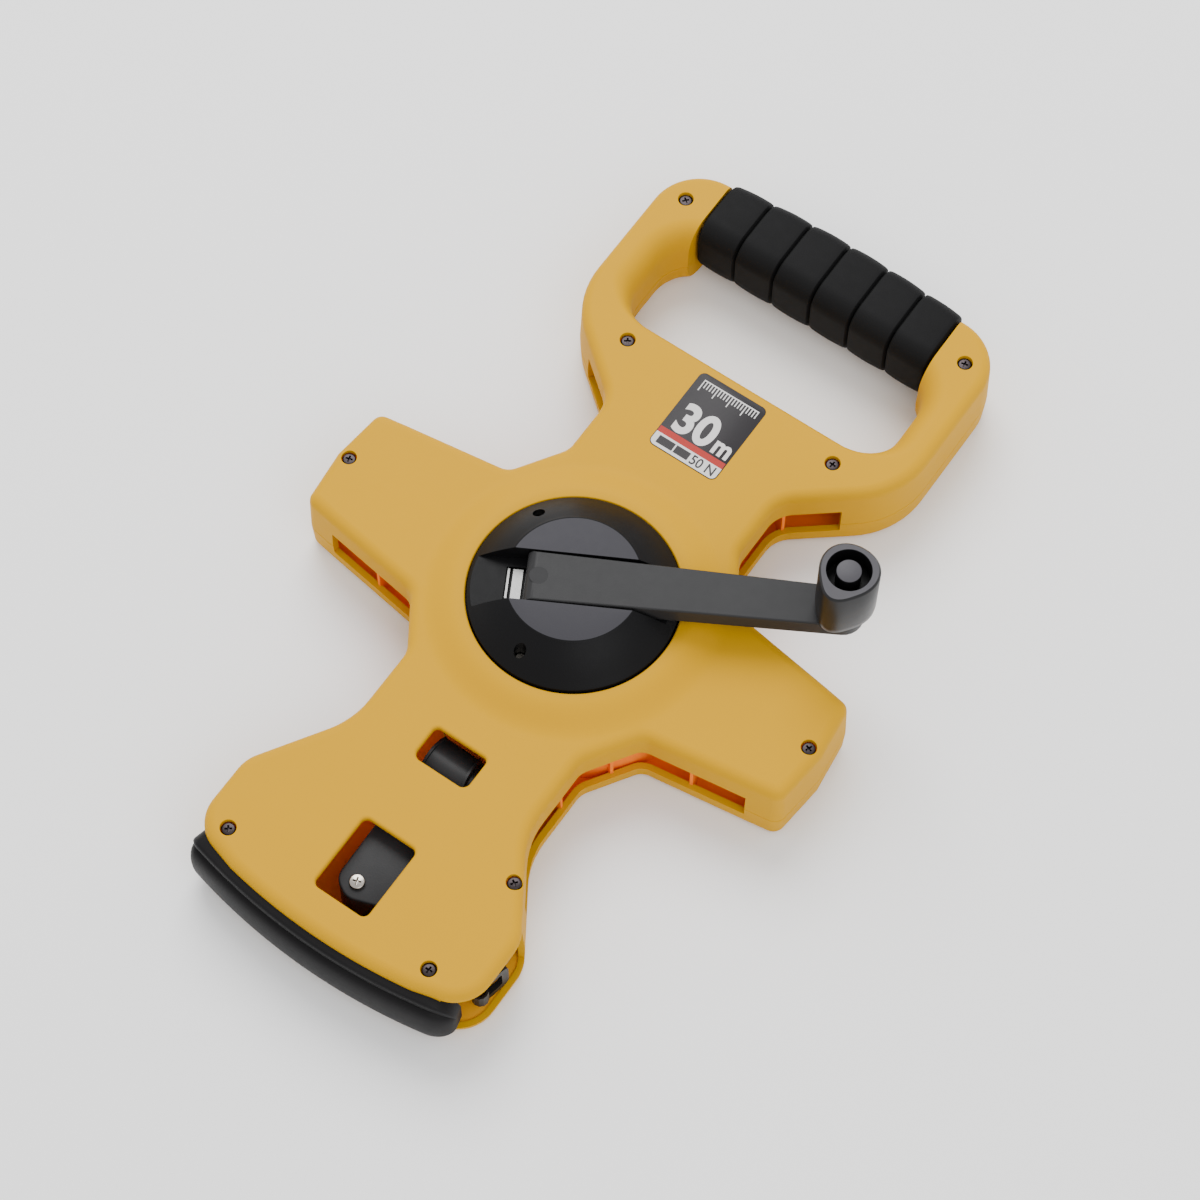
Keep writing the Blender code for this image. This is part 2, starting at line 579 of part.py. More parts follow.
# ---------------------------------------------------------------- crank
def crank():
    low, high = CARRIER_Z
    carrier = turned("planet_carrier", [(36, high), (36, low), (6.8, low), (6.8, high)],
                     BLACK_LOOK, closed=True)
    pins = [(*along(a, PLANET_ORBIT), PLANET_PIN + GAP, 20, 40) for a in PLANET_ANGLES]
    pilot = [(*along(a, HUB_SCREW_R), 1.4, 20, 40) for a in HUB_SCREW_ANGLES]
    combine(carrier, cylinders("carrier_holes", pins + pilot))
    ring("carrier_bush", SPINDLE_R + GAP, 6.5, low, high, STEEL_LOOK, steps=20)
    ring("retaining_clip", SPINDLE_R + GAP, 7.5, high + GAP, high + 1.5, STEEL_LOOK, steps=20)
    for i, angle in enumerate(PLANET_ANGLES, 1):
        x, y = along(angle, PLANET_ORBIT)
        cylinders(f"planet_pin_{i}", [(x, y, PLANET_PIN, GEAR_Z[0], high)], STEEL_LOOK)
    hub = turned("crank_hub", [(0, HUB_TOP_Z), (HUB_FLAT_R, HUB_TOP_Z), (HUB_R, HUB_RIM_Z),
                               (HUB_R, HUB_SKIRT_Z), (HUB_R - 2, HUB_SKIRT_Z),
                               (HUB_R - 2, HUB_FLOOR_Z), (0, HUB_FLOOR_Z)], BLACK_LOOK, steps=48)
    bosses = [(*along(a, HUB_SCREW_R), 3.6, HUB_SKIRT_Z, 39) for a in HUB_SCREW_ANGLES]
    combine(hub, cylinders("hub_bosses", bosses), "UNION")
    wells = [(*along(a, HUB_SCREW_R), 2.3, HUB_FLOOR_Z - 1.9, 50) for a in HUB_SCREW_ANGLES]
    wells += [(*along(a, HUB_SCREW_R), 1.4, 30, 40) for a in HUB_SCREW_ANGLES]
    combine(hub, cylinders("hub_wells_1", wells[:3]))
    combine(hub, cylinders("hub_wells_2", wells[3:]))
    ramp_end = HUB_RIM_Z - (45 - HUB_R) * (RAMP_Z - HUB_RIM_Z) / (HUB_R + RAMP_S)
    side = [(-45, ramp_end), (RAMP_S, RAMP_Z), (RAMP_S + 1, TROUGH_Z), (45, TROUGH_Z), (45, 60),
            (-45, 60)]
    upright = CRANK @ Matrix.Rotation(pi / 2, 4, "X")
    combine(hub, prism("trough", [side], -TROUGH_HALF, TROUGH_HALF, matrix=upright))
    well = ((SPRING_S[0] - GAP, -SPRING_HALF - GAP, 39.0), (-9, SPRING_HALF + GAP, 45))
    combine(hub, box("spring_well", *well, matrix=CRANK))
    box("detent_spring", (SPRING_S[0], -SPRING_HALF, 39.4), (SPRING_S[1], SPRING_HALF, 40.3),
        STEEL_LOOK, CRANK)
    axle_z = sum(ARM_Z) / 2
    across = CRANK @ Matrix.Translation((HINGE_S, 0, axle_z)) @ Matrix.Rotation(pi / 2, 4, "X")
    combine(hub, rod("hinge_hole", 1.5 + GAP, 16.0, across))
    rod("hinge_pin", 1.5, 15.0, across, STEEL_LOOK)
    arm(across)


def rod(name, radius, half, matrix, looks=None):
    shape = bmesh.new()
    bmesh.ops.create_cone(shape, cap_ends=True, segments=12, radius1=radius, radius2=radius,
                          depth=2 * half)
    return from_bmesh(name, shape, looks, matrix)


def arm(across):
    half_t = (ARM_Z[1] - ARM_Z[0]) / 2
    arc = [(HINGE_S - half_t * cos(radians(a)), half_t * sin(radians(a)))
           for a in range(-90, 91, 18)]
    side = arc + [(KNOB_S + 10, half_t), (KNOB_S + 10, -half_t)]
    lift = CRANK @ Matrix.Translation((0, 0, sum(ARM_Z) / 2)) @ Matrix.Rotation(pi / 2, 4, "X")
    made = prism("crank_arm", [side], -20, 20, BLACK_LOOK, lift)
    end = ARM_HALF[1]
    plan = [(HINGE_S - 10, ARM_HALF[0]), (KNOB_S, end)]
    plan += [(KNOB_S + end * sin(radians(a)), end * cos(radians(a))) for a in range(18, 180, 18)]
    plan += [(KNOB_S, -end), (HINGE_S - 10, -ARM_HALF[0])]
    keep = prism("arm_plan", [plan], 30, 60, matrix=CRANK)
    combine(made, keep, "INTERSECT")
    combine(made, rod("arm_hole", 1.5 + GAP, 16.0, across))
    pivot(made, (*along(CRANK_ANGLE, HINGE_S), sum(ARM_Z) / 2))
    x, y = along(CRANK_ANGLE, KNOB_S)
    combine(made, cylinders("knob_pin_hole", [(x, y, 3.3, 30, 60)], sides=16))
    place = Matrix.Translation((x, y, 0))
    turned("knob_pin", [(0, 76.3), (4.4, 76.3), (4.4, 73.5), (3.0, 73.5), (3.0, ARM_Z[0] + 0.4),
                        (0, ARM_Z[0] + 0.4)], STEEL_LOOK, place, steps=16)
    lobes = [((KNOB_R + KNOB_LOBE * cos(3 * a)) * cos(a), (KNOB_R + KNOB_LOBE * cos(3 * a)) * sin(a))
             for a in [2 * pi * k / 36 for k in range(36)]]
    turn = place @ Matrix.Rotation(radians(-87), 4, "Z")
    knob = prism("knob", [lobes], *KNOB_Z, BLACK_LOOK, turn, bevel=(0.8, 1, KNOB_Z[1]))
    combine(knob, cylinders("knob_bore", [(x, y, 3.3, 40, 80)], sides=16))
    combine(knob, cylinders("knob_recess", [(x, y, 7.9, 73.1, 80)], sides=24))
    pivot(knob, (x, y, KNOB_Z[0]))


shared = casing_cutters()
front_shell(shared)
rear_shell(shared)
fasteners()
prism("label", [inset(LABEL_OUTLINE, GAP)], FRONT_Z - 0.35, FRONT_Z, ((0.12, 0.12, 0.13), 0.4))
grips()
bumper()
gears()
drum()
tape_path()
crank()
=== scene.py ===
"""Looks of the surveyor's tape reel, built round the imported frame.

The reel lies on its back, with the crank side up (+Z) and the handle towards +Y. Dimensions are
in millimetres; places of the inner pieces come from the frame's nodes. The visible mouldings are
modelled afresh here, with drafted walls and rounded edges, and stand for their CAD nodes.
"""
import json
from math import acos, atan2, ceil, cos, degrees, pi, radians, sin, sqrt, tan

import bmesh
import bpy
from mathutils import Matrix, Vector
from mathutils.geometry import delaunay_2d_cdt


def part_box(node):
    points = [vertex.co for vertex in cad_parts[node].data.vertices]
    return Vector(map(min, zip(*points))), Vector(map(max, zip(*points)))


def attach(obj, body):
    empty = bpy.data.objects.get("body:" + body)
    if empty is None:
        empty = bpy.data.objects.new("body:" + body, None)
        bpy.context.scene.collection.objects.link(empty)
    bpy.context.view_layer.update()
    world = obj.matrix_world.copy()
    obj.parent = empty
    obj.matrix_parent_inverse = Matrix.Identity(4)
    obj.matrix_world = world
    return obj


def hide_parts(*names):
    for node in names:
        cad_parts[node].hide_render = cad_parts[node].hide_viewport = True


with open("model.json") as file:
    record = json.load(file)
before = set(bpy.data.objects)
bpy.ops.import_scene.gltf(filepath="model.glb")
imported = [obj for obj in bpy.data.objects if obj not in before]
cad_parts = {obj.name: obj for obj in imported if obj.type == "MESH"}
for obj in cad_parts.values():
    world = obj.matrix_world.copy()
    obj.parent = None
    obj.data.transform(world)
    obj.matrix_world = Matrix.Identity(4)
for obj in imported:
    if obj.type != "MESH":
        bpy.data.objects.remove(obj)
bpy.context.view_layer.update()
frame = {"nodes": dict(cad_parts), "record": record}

MM = 0.001
NODES = frame["nodes"]


def span(node):
    """The node's lowest and highest corner, in millimetres."""
    low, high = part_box(node)
    return low / MM, high / MM


def middle(node):
    """The centre of the node's box, in millimetres."""
    low, high = span(node)
    return (low + high) / 2


# ---------------------------------------------------------------- sizes
BACK_Z = span("rear_shell")[0].z
PARTING_Z = (span("rear_shell")[1].z + span("front_shell")[0].z) / 2
HEAD_DEPTH = 1.0                 # casing screws: depth of their heads below the face
FRONT_Z = span("case_screw_1")[1].z + HEAD_DEPTH
GROOVE, SEAM = 0.3, 0.05         # half the groove round the casing, half the gap in its floor
WALL, PLATE = 2.2, 2.0
DRAFT, EDGE_R = 0.7, 4.2         # front shell: lean of the walls, rounding of the face
BACK_R = 3.0
OPENING_ROUND, OPENING_EDGE_Z = 8.5, (7.0, 22.0)    # finger opening: rounding, and where it starts
SLOT_Z = (8.0, 21.5)
MOUTH_Z = (4.2, 29.0)
BOSS_R, BOSS_TOP_R, BOSS_TOP, BOSS_ROOT_Z = 54.0, 40.5, 37.3, 24.0
HUB_OPENING_R = 38.0
WINDOW_HALF, WINDOW_CORNER, WINDOW_EDGE = 11.0, 2.4, 1.2
WINDOWS = ((-80.6, -67.1, 1.0), (-136.9, -107.3, 0.0))   # low and high y, share of the drum's bow
GRIP_LOW, GRIP_HIGH = span("grip_rear")[0], span("grip_front")[1]
BAR_HALF = 50.7                  # half the handle bar's length between its shoulders
BAR_Y, BAR_Z = (154.6, 171.8), (9.0, 29.6)
FOOT_LOW, FOOT_RADIUS = -151.5, 227.0
KNOB_AT, HUB_AT = middle("knob_pin"), middle("crank_hub")
CRANK_ANGLE = atan2(KNOB_AT.y, KNOB_AT.x)
HUB_R, HUB_FLAT_R = (span("crank_hub")[1].x - span("crank_hub")[0].x) / 2, 24.0
HUB_LOW_Z, HUB_TOP_Z = span("crank_hub")[0].z, span("crank_hub")[1].z
HUB_RIM_Z = 38.5
ARM_Z = (span("crank_arm")[0].z, span("crank_arm")[1].z)
HINGE_S, KNOB_S = -13.0, Vector((KNOB_AT.x, KNOB_AT.y)).length
PIN_BORE_R = 3.3                 # the knob's pin passes through the arm and the knob
HEAD_R, WELL_R = 2.45, 2.85
RIBS = [(44.2, -39.0), (67.8, -26.9), (37.6, -58.5), (38.3, 76.0), (67.8, 26.9), (44.2, 39.0)]
CASE_SCREWS = [name for name in sorted(NODES) if name.startswith("case_screw")]

RIGHT_SIDE = [(72.6, 175.2, 21), (72.6, 101, 34), (56, 87.76, 0), (37.5, 73, 12), (37.5, 49, 8),
              (50, 30, 6), (90, 24.2, 0), (101.8, 22.3, 5), (104.2, 0, 0)]
RIGHT_FOOT = [(101.8, -22.3, 5), (90, -24.2, 0), (50, -30, 6), (37.5, -49, 8), (37.5, -80, 30),
              (50.5, -100, 0), (58.9, -113, 15), (58.9, -142.5, 15)]


# ---------------------------------------------------------------- outlines
def rounded(corners, step=6.0):
    """The outline through (x, y, radius) corners, with each corner as an arc."""
    points = []
    for i, (x, y, radius) in enumerate(corners):
        before, after = corners[i - 1], corners[(i + 1) % len(corners)]
        a = Vector((before[0] - x, before[1] - y)).normalized()
        b = Vector((after[0] - x, after[1] - y)).normalized()
        angle = acos(max(-1.0, min(1.0, a.dot(b))))
        if radius == 0 or pi - angle < radians(1):
            points.append((x, y))
            continue
        reach = radius / tan(angle / 2)
        centre = Vector((x, y)) + (a + b).normalized() * radius / sin(angle / 2)
        start = Vector((x, y)) + a * reach - centre
        end = Vector((x, y)) + b * reach - centre
        first = atan2(start.y, start.x)
        turn = (atan2(end.y, end.x) - first + pi) % (2 * pi) - pi
        parts = max(1, ceil(abs(degrees(turn)) / step - 1e-3))
        points += [(centre.x + radius * cos(first + turn * k / parts),
                    centre.y + radius * sin(first + turn * k / parts))
                   for k in range(parts + 1)]
    return points


def inset(points, distance, closed=True, share=None):
    """The points of a clockwise outline moved inwards, each by its share of the distance."""
    moved = []
    for i, point in enumerate(points):
        here = Vector(point)
        before = Vector(points[i - 1]) if i or closed else None
        after = Vector(points[(i + 1) % len(points)]) if i + 1 < len(points) or closed else None
        sides = [(here - before).normalized()] if before else []
        sides += [(after - here).normalized()] if after else []
        normals = [Vector((s.y, -s.x)) for s in sides]
        middle_normal = sum(normals, Vector((0, 0))).normalized()
        amount = distance * (share(*point) if share else 1)
        moved.append(tuple(here + middle_normal * amount / middle_normal.dot(normals[0])))
    return moved


def nearest(points, x, y):
    """The outline's point nearest to (x, y), and the direction inwards there."""
    here, best = Vector((x, y)), None
    for a, b in zip(points, points[1:] + points[:1]):
        a, b = Vector(a), Vector(b)
        share = max(0.0, min(1.0, (here - a).dot(b - a) / (b - a).length_squared))
        foot = a.lerp(b, share)
        if best is None or (foot - here).length < (best[0] - here).length:
            side = (b - a).normalized()
            best = foot, Vector((side.y, -side.x))
    return best


def rectangle(x0, x1, y0, y1, radius=0.0, step=15):
    """A clockwise rectangle with round corners."""
    corners = [(x0, y0, radius), (x0, y1, radius), (x1, y1, radius), (x1, y0, radius)]
    return rounded(corners, step)


def circle(radius, count=96, x=0.0, y=0.0):
    """A clockwise circle."""
    return [(x + radius * cos(2 * pi * k / count), y - radius * sin(2 * pi * k / count))
            for k in range(count)]


def foot_y(x):
    """The foot's curve: y at x, on a circle about a point on the reel's centre line."""
    return FOOT_LOW + FOOT_RADIUS - sqrt(FOOT_RADIUS ** 2 - x * x)


def along(angle, s=0.0, t=0.0):
    """The point s along a direction from the drum's axis and t to its left."""
    return s * cos(angle) - t * sin(angle), s * sin(angle) + t * cos(angle)


def quarter_round(steps):
    """How far in and how far up a quarter round goes at each step, as shares of its radius."""
    return [(1 - cos(pi / 2 * k / steps), sin(pi / 2 * k / steps)) for k in range(steps + 1)]


FOOT = [(x, foot_y(x), 0) for x in range(38, -39, -4)]
LEFT_SIDE = [(-x, y, r) for x, y, r in reversed(RIGHT_SIDE + RIGHT_FOOT)]
OUTLINE = rounded(RIGHT_SIDE + RIGHT_FOOT + FOOT + LEFT_SIDE)
OPENING = rounded([(56.3, 149.3, 16), (56.3, 107.6, 14), (-56.3, 107.6, 14), (-56.3, 149.3, 16)])
CRANK = Matrix.Rotation(CRANK_ANGLE, 4, "Z")


# ---------------------------------------------------------------- mesh helpers
def finish_mesh(name, shape, matrix=None, sharp=35.0):
    """An object of the bmesh, which is in millimetres, with edges over `sharp` degrees sharp."""
    bmesh.ops.transform(shape, matrix=matrix or Matrix(), verts=shape.verts)
    bmesh.ops.scale(shape, vec=(MM, MM, MM), verts=shape.verts)
    mesh = bpy.data.meshes.new(name)
    shape.to_mesh(mesh)
    shape.free()
    mesh.shade_smooth()
    mesh.set_sharp_from_angle(angle=radians(sharp))
    made = bpy.data.objects.new(name, mesh)
    bpy.context.scene.collection.objects.link(made)
    return made


def inside(loops, x, y):
    """Whether a point lies within the area between closed loops."""
    crossings = 0
    for loop in loops:
        for p, q in zip(loop, loop[1:] + loop[:1]):
            if (p[1] > y) != (q[1] > y):
                crossings += p[0] + (y - p[1]) * (q[0] - p[0]) / (q[1] - p[1]) > x
    return crossings % 2 == 1


def fill_across(shape, rings, extra=()):
    """Faces over the area between level rings, leaving out the rings that lie inside others;
    extra points inside become corners of the faces too."""
    verts = [v for ring in rings for v in ring]
    level = verts[0].co.z
    edges, first = [], 0
    for ring in rings:
        edges += [(first + k, first + (k + 1) % len(ring)) for k in range(len(ring))]
        first += len(ring)
    loops = [[tuple(v.co.xy) for v in ring] for ring in rings]
    verts += [shape.verts.new((x, y, level)) for x, y in extra]
    flat = [v.co.xy for v in verts]
    places, _, triangles, source, _, _ = delaunay_2d_cdt(flat, edges, [], 0, 1e-6)
    for triangle in triangles:
        centre = sum((places[k] for k in triangle), Vector((0, 0))) / 3
        if inside(loops, *centre):
            shape.faces.new([verts[source[k][0]] for k in triangle])


def lofted(name, stacks, matrix=None, sharp=35.0, extra=(), lift=None):
    """A closed solid between outlines. A stack is the levels (outline, z) of one wall, and all
    stacks share their first and last z, which are filled across. The last level may have extra
    corners in it, and lift(x, y, z) may give each corner a new height."""
    shape = bmesh.new()
    ends = ([], [])
    for stack in stacks:
        rings = [[shape.verts.new((x, y, z)) for x, y in points] for points, z in stack]
        for low, high in zip(rings, rings[1:]):
            for k in range(len(low)):
                shape.faces.new((low[k - 1], low[k], high[k], high[k - 1]))
        ends[0].append(rings[0])
        ends[1].append(rings[-1])
    fill_across(shape, ends[0])
    fill_across(shape, ends[1], extra)
    if lift:
        for v in shape.verts:
            v.co.z = lift(*v.co)
    bmesh.ops.recalc_face_normals(shape, faces=shape.faces)
    return finish_mesh(name, shape, matrix, sharp)


def skinned(name, sections, matrix=None, sharp=35.0):
    """A closed solid through loops of (x, y, z) points, all of one length, capped at both ends."""
    shape = bmesh.new()
    rings = [[shape.verts.new(p) for p in section] for section in sections]
    for low, high in zip(rings, rings[1:]):
        for k in range(len(low)):
            shape.faces.new((low[k - 1], low[k], high[k], high[k - 1]))
    shape.faces.new(rings[0])
    shape.faces.new(rings[-1][::-1])
    bmesh.ops.recalc_face_normals(shape, faces=shape.faces)
    return finish_mesh(name, shape, matrix, sharp)


def turned(name, profile, matrix=None, steps=96, sharp=35.0):
    """A solid of revolution about Z from (radius, z) points; it may start or end on the axis."""
    shape = bmesh.new()
    rings = []
    for radius, z in profile:
        if radius < 1e-6:
            rings.append([shape.verts.new((0, 0, z))] * steps)
        else:
            rings.append([shape.verts.new((radius * cos(2 * pi * k / steps),
                                           radius * sin(2 * pi * k / steps), z))
                          for k in range(steps)])
    closed = profile[0][0] > 1e-6 and profile[-1][0] > 1e-6
    for a, b in zip(rings, rings[1:] + rings[:1] if closed else rings[1:]):
        for k in range(steps):
            corners = []
            for v in (a[k - 1], a[k], b[k], b[k - 1]):
                if v not in corners:
                    corners.append(v)
            if len(corners) > 2:
                shape.faces.new(corners)
    bmesh.ops.recalc_face_normals(shape, faces=shape.faces)
    return finish_mesh(name, shape, matrix, sharp)


def box(name, low, high, matrix=None):
    """A block between two opposite corners."""
    stack = [(rectangle(low[0], high[0], low[1], high[1]), z) for z in (low[2], high[2])]
    return lofted(name, [stack], matrix)


def prism(name, loops, low, high, matrix=None):
    """Upright walls over the area between loops, from z low to z high."""
    return lofted(name, [[(loop, low), (loop, high)] for loop in loops], matrix)


def cut(target, tools, operation="DIFFERENCE", sharp=35.0, looks=()):
    """Applies Booleans of the tools to the target, and removes the tools. With two looks, the
    target has the first and the faces that the tools leave have the second."""
    for piece, look in zip([target] + tools, looks[:1] + looks[1:] * len(tools)):
        piece.data.materials.clear()
        piece.data.materials.append(look)
    for tool in tools:
        boolean = target.modifiers.new(tool.name, "BOOLEAN")
        boolean.operation = operation
        boolean.material_mode = "TRANSFER" if looks else "INDEX"
        boolean.object = tool
    bpy.context.view_layer.update()
    evaluated = target.evaluated_get(bpy.context.evaluated_depsgraph_get())
    mesh = bpy.data.meshes.new_from_object(evaluated)
    mesh.name = target.name
    target.modifiers.clear()
    target.data = mesh
    mesh.shade_smooth()
    mesh.set_sharp_from_angle(angle=radians(sharp))
    for tool in tools:
        bpy.data.objects.remove(tool)
    return target


def join(name, pieces):
    """One object of several separate closed bodies."""
    shape = bmesh.new()
    for piece in pieces:
        piece.data.transform(piece.matrix_world)
        shape.from_mesh(piece.data)
        bpy.data.objects.remove(piece)
    bmesh.ops.scale(shape, vec=(1 / MM,) * 3, verts=shape.verts)
    return finish_mesh(name, shape)


def soften(piece, width):
    """Small rounded edges, with normals that keep flat faces flat."""
    bevel = piece.modifiers.new("edges", "BEVEL")
    bevel.width = width * MM
    bevel.segments = 2
    bevel.limit_method = "ANGLE"
    bevel.angle_limit = radians(40)
    bevel.harden_normals = True


def weighted(piece):
    """Normals that follow the large faces, so that rounded edges shade cleanly."""
    normals = piece.modifiers.new("normals", "WEIGHTED_NORMAL")
    normals.keep_sharp = True
    normals.weight = 100


def settle(piece, material, body, slot, *nodes):
    """Gives the piece its material, its body and the nodes that it stands for. slot is not used."""
    if material:
        piece.data.materials.clear()
        piece.data.materials.append(material)
    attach(piece, body)
    if nodes:
        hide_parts(*nodes)


# ---------------------------------------------------------------- materials
def moulded(name, colour, roughness, grain_mm=0.25, depth=0.05, vary=0.06, metallic=0.0,
            specular=0.25, sheen=0.0, stretch=(1, 1, 1)):
    """A moulded or finished surface: fine grain in the bump, and slow changes in colour and
    gloss. grain_mm is the grain's size and depth its relief."""
    made = bpy.data.materials.new(name)
    made.use_nodes = True
    tree = made.node_tree
    shader = tree.nodes["Principled BSDF"]
    shader.inputs["Metallic"].default_value = metallic
    shader.inputs["Specular IOR Level"].default_value = specular
    shader.inputs["Sheen Weight"].default_value = sheen
    place = tree.nodes.new("ShaderNodeTexCoord")
    scale = tree.nodes.new("ShaderNodeMapping")
    scale.inputs["Scale"].default_value = stretch
    tree.links.new(place.outputs["Object"], scale.inputs["Vector"])

    def noise(size_mm, detail):
        made_noise = tree.nodes.new("ShaderNodeTexNoise")
        made_noise.inputs["Scale"].default_value = 1 / (size_mm * MM)
        made_noise.inputs["Detail"].default_value = detail
        tree.links.new(scale.outputs["Vector"], made_noise.inputs["Vector"])
        return made_noise

    slow = noise(28, 3)
    shade = tree.nodes.new("ShaderNodeMix")
    shade.data_type = "RGBA"
    shade.inputs["A"].default_value = (*[c * (1 - vary) for c in colour], 1)
    shade.inputs["B"].default_value = (*[min(1, c * (1 + vary)) for c in colour], 1)
    tree.links.new(slow.outputs["Fac"], shade.inputs["Factor"])
    tree.links.new(shade.outputs["Result"], shader.inputs["Base Color"])
    speck = noise(3, 4)
    gloss = tree.nodes.new("ShaderNodeMapRange")
    gloss.inputs["To Min"].default_value = roughness - 0.05
    gloss.inputs["To Max"].default_value = roughness + 0.05
    tree.links.new(speck.outputs["Fac"], gloss.inputs["Value"])
    tree.links.new(gloss.outputs["Result"], shader.inputs["Roughness"])
    grain = noise(grain_mm, 2)
    bump = tree.nodes.new("ShaderNodeBump")
    bump.inputs["Strength"].default_value = 0.6
    bump.inputs["Distance"].default_value = depth * MM
    tree.links.new(grain.outputs["Fac"], bump.inputs["Height"])
    tree.links.new(bump.outputs["Normal"], shader.inputs["Normal"])
    return made


YELLOW = moulded("yellow_abs", (0.57, 0.292, 0.0), 0.5, 0.6, 0.03, 0.015, specular=0.05)
# painted shade: the casing's yellow turned deep orange for the inside of the hollow, standing for
# its shade and the light bounced within it
INSIDE_PAINTED_SHADE = moulded("yellow_inside_painted_shade", (0.95, 0.21, 0.01), 0.6, 0.6, 0.03, 0.03, specular=0.05)
# painted light: the casing's yellow made brighter and more orange, standing for the light on the
# shaded floor of the mouth
LEDGE_PAINTED_LIGHT = moulded("yellow_ledge_painted_light", (0.85, 0.37, 0.01), 0.5, 0.6, 0.03, 0.02, specular=0.05)
RING_BLACK = moulded("ring_black", (0.012, 0.011, 0.011), 0.4, 0.2, 0.02, 0.15, specular=0.2)
RUBBER = moulded("grip_rubber", (0.0075, 0.0075, 0.0078), 0.6, 0.5, 0.1, 0.2, specular=0.07)
BUMPER = moulded("bumper_rubber", (0.0085, 0.008, 0.0085), 0.5, 0.5, 0.08, 0.2, specular=0.1)
HUB_BLACK = moulded("hub_black", (0.005, 0.005, 0.0055), 0.4, 0.4, 0.04, 0.1, specular=0.1)
# painted reflection: grey standing for the overhead light's sheen on the hub's upward flat faces
HUB_TOP_PAINTED_SHEEN = moulded("hub_flat_painted_sheen", (0.038, 0.037, 0.043), 0.5, 0.4, 0.05, 0.06, specular=0.12)
ARM_BLACK = moulded("arm_black", (0.026, 0.026, 0.027), 0.4, 0.4, 0.04, 0.08, specular=0.12)
ARM_MARK = moulded("arm_mark", (0.0195, 0.0195, 0.0205), 0.42, 0.4, 0.03, 0.08, specular=0.12)
KNOB_BLACK = moulded("knob_black", (0.014, 0.014, 0.015), 0.34, 0.4, 0.04, 0.08, specular=0.2)
# painted reflection: lighter grey standing for the overhead light's sheen on the top faces of the
# knob and its pin
KNOB_TOP_PAINTED_SHEEN = moulded("knob_face_painted_sheen", (0.050, 0.048, 0.055), 0.4, 0.4, 0.04, 0.08, specular=0.2)
CAP_GREY = moulded("knob_cap", (0.03, 0.03, 0.034), 0.4, 0.4, 0.04, 0.08, specular=0.2)
GUIDE_BLACK = moulded("guide_black", (0.022, 0.022, 0.023), 0.4, 0.4, 0.05, 0.1, specular=0.15)
SCREW_BLACK = moulded("screw_black", (0.035, 0.028, 0.03), 0.32, 0.2, 0.02, 0.15, 0.8)
BRIGHT = moulded("bright_steel", (0.40, 0.37, 0.33), 0.25, 0.15, 0.01, 0.05, 1.0)
BRUSHED = moulded("brushed_strip", (0.2, 0.2, 0.195), 0.35, 0.12, 0.02, 0.05, 1.0,
                  stretch=(1, 12, 1))
NYLON = moulded("natural_nylon", (0.42, 0.4, 0.36), 0.45, 0.3, 0.03)
BLADE = moulded("tape_blade", (0.45, 0.24, 0.01), 0.3, 0.2, 0.01)
FELT = moulded("wiper_felt", (0.34, 0.33, 0.29), 0.95, 0.4, 0.25, 0.12, sheen=0.3)
LABEL_DARK = moulded("label_dark", (0.028, 0.026, 0.028), 0.3, 0.3, 0.01, 0.1, specular=0.1)
LABEL_RED = moulded("label_red", (0.36, 0.022, 0.016), 0.3, 0.3, 0.01, 0.05, specular=0.1)
LABEL_WHITE = moulded("label_white", (0.62, 0.61, 0.60), 0.32, 0.3, 0.01, 0.02, specular=0.1)
FLOOR = moulded("floor_white", (0.95, 0.95, 0.95), 0.8, 2.0, 0.02, 0.005, specular=0.1)

SLOT_LOOK = {"casing_yellow": YELLOW, "grip_rubber": RUBBER, "bumper_rubber": BUMPER,
             "hub_plastic": HUB_BLACK, "arm_plastic": ARM_BLACK, "knob_plastic": KNOB_BLACK,
             "knob_insert": CAP_GREY, "black_steel": SCREW_BLACK, "bright_steel": BRIGHT,
             "guide_plastic": GUIDE_BLACK, "gear_nylon": NYLON, "tape_blade": BLADE,
             "wiper_felt": FELT, "label_print": LABEL_DARK}
NODE_LOOK = {"tape_end_clip": RING_BLACK, "end_ring": RING_BLACK, "mouth_roller_1": GUIDE_BLACK,
             "mouth_roller_2": GUIDE_BLACK, "roller_pin_1": SCREW_BLACK,
             "roller_pin_2": SCREW_BLACK}


def dress_nodes():
    """Each node of the frame takes the material of its slot."""
    for part in frame["record"]["subparts"]:
        node = NODES[part["node"]]
        look = NODE_LOOK.get(part["node"], SLOT_LOOK[part["material_slot"]])
        if not node.material_slots:
            node.data.materials.append(look)
        for place in node.material_slots:
            place.link = "OBJECT"
            place.material = look


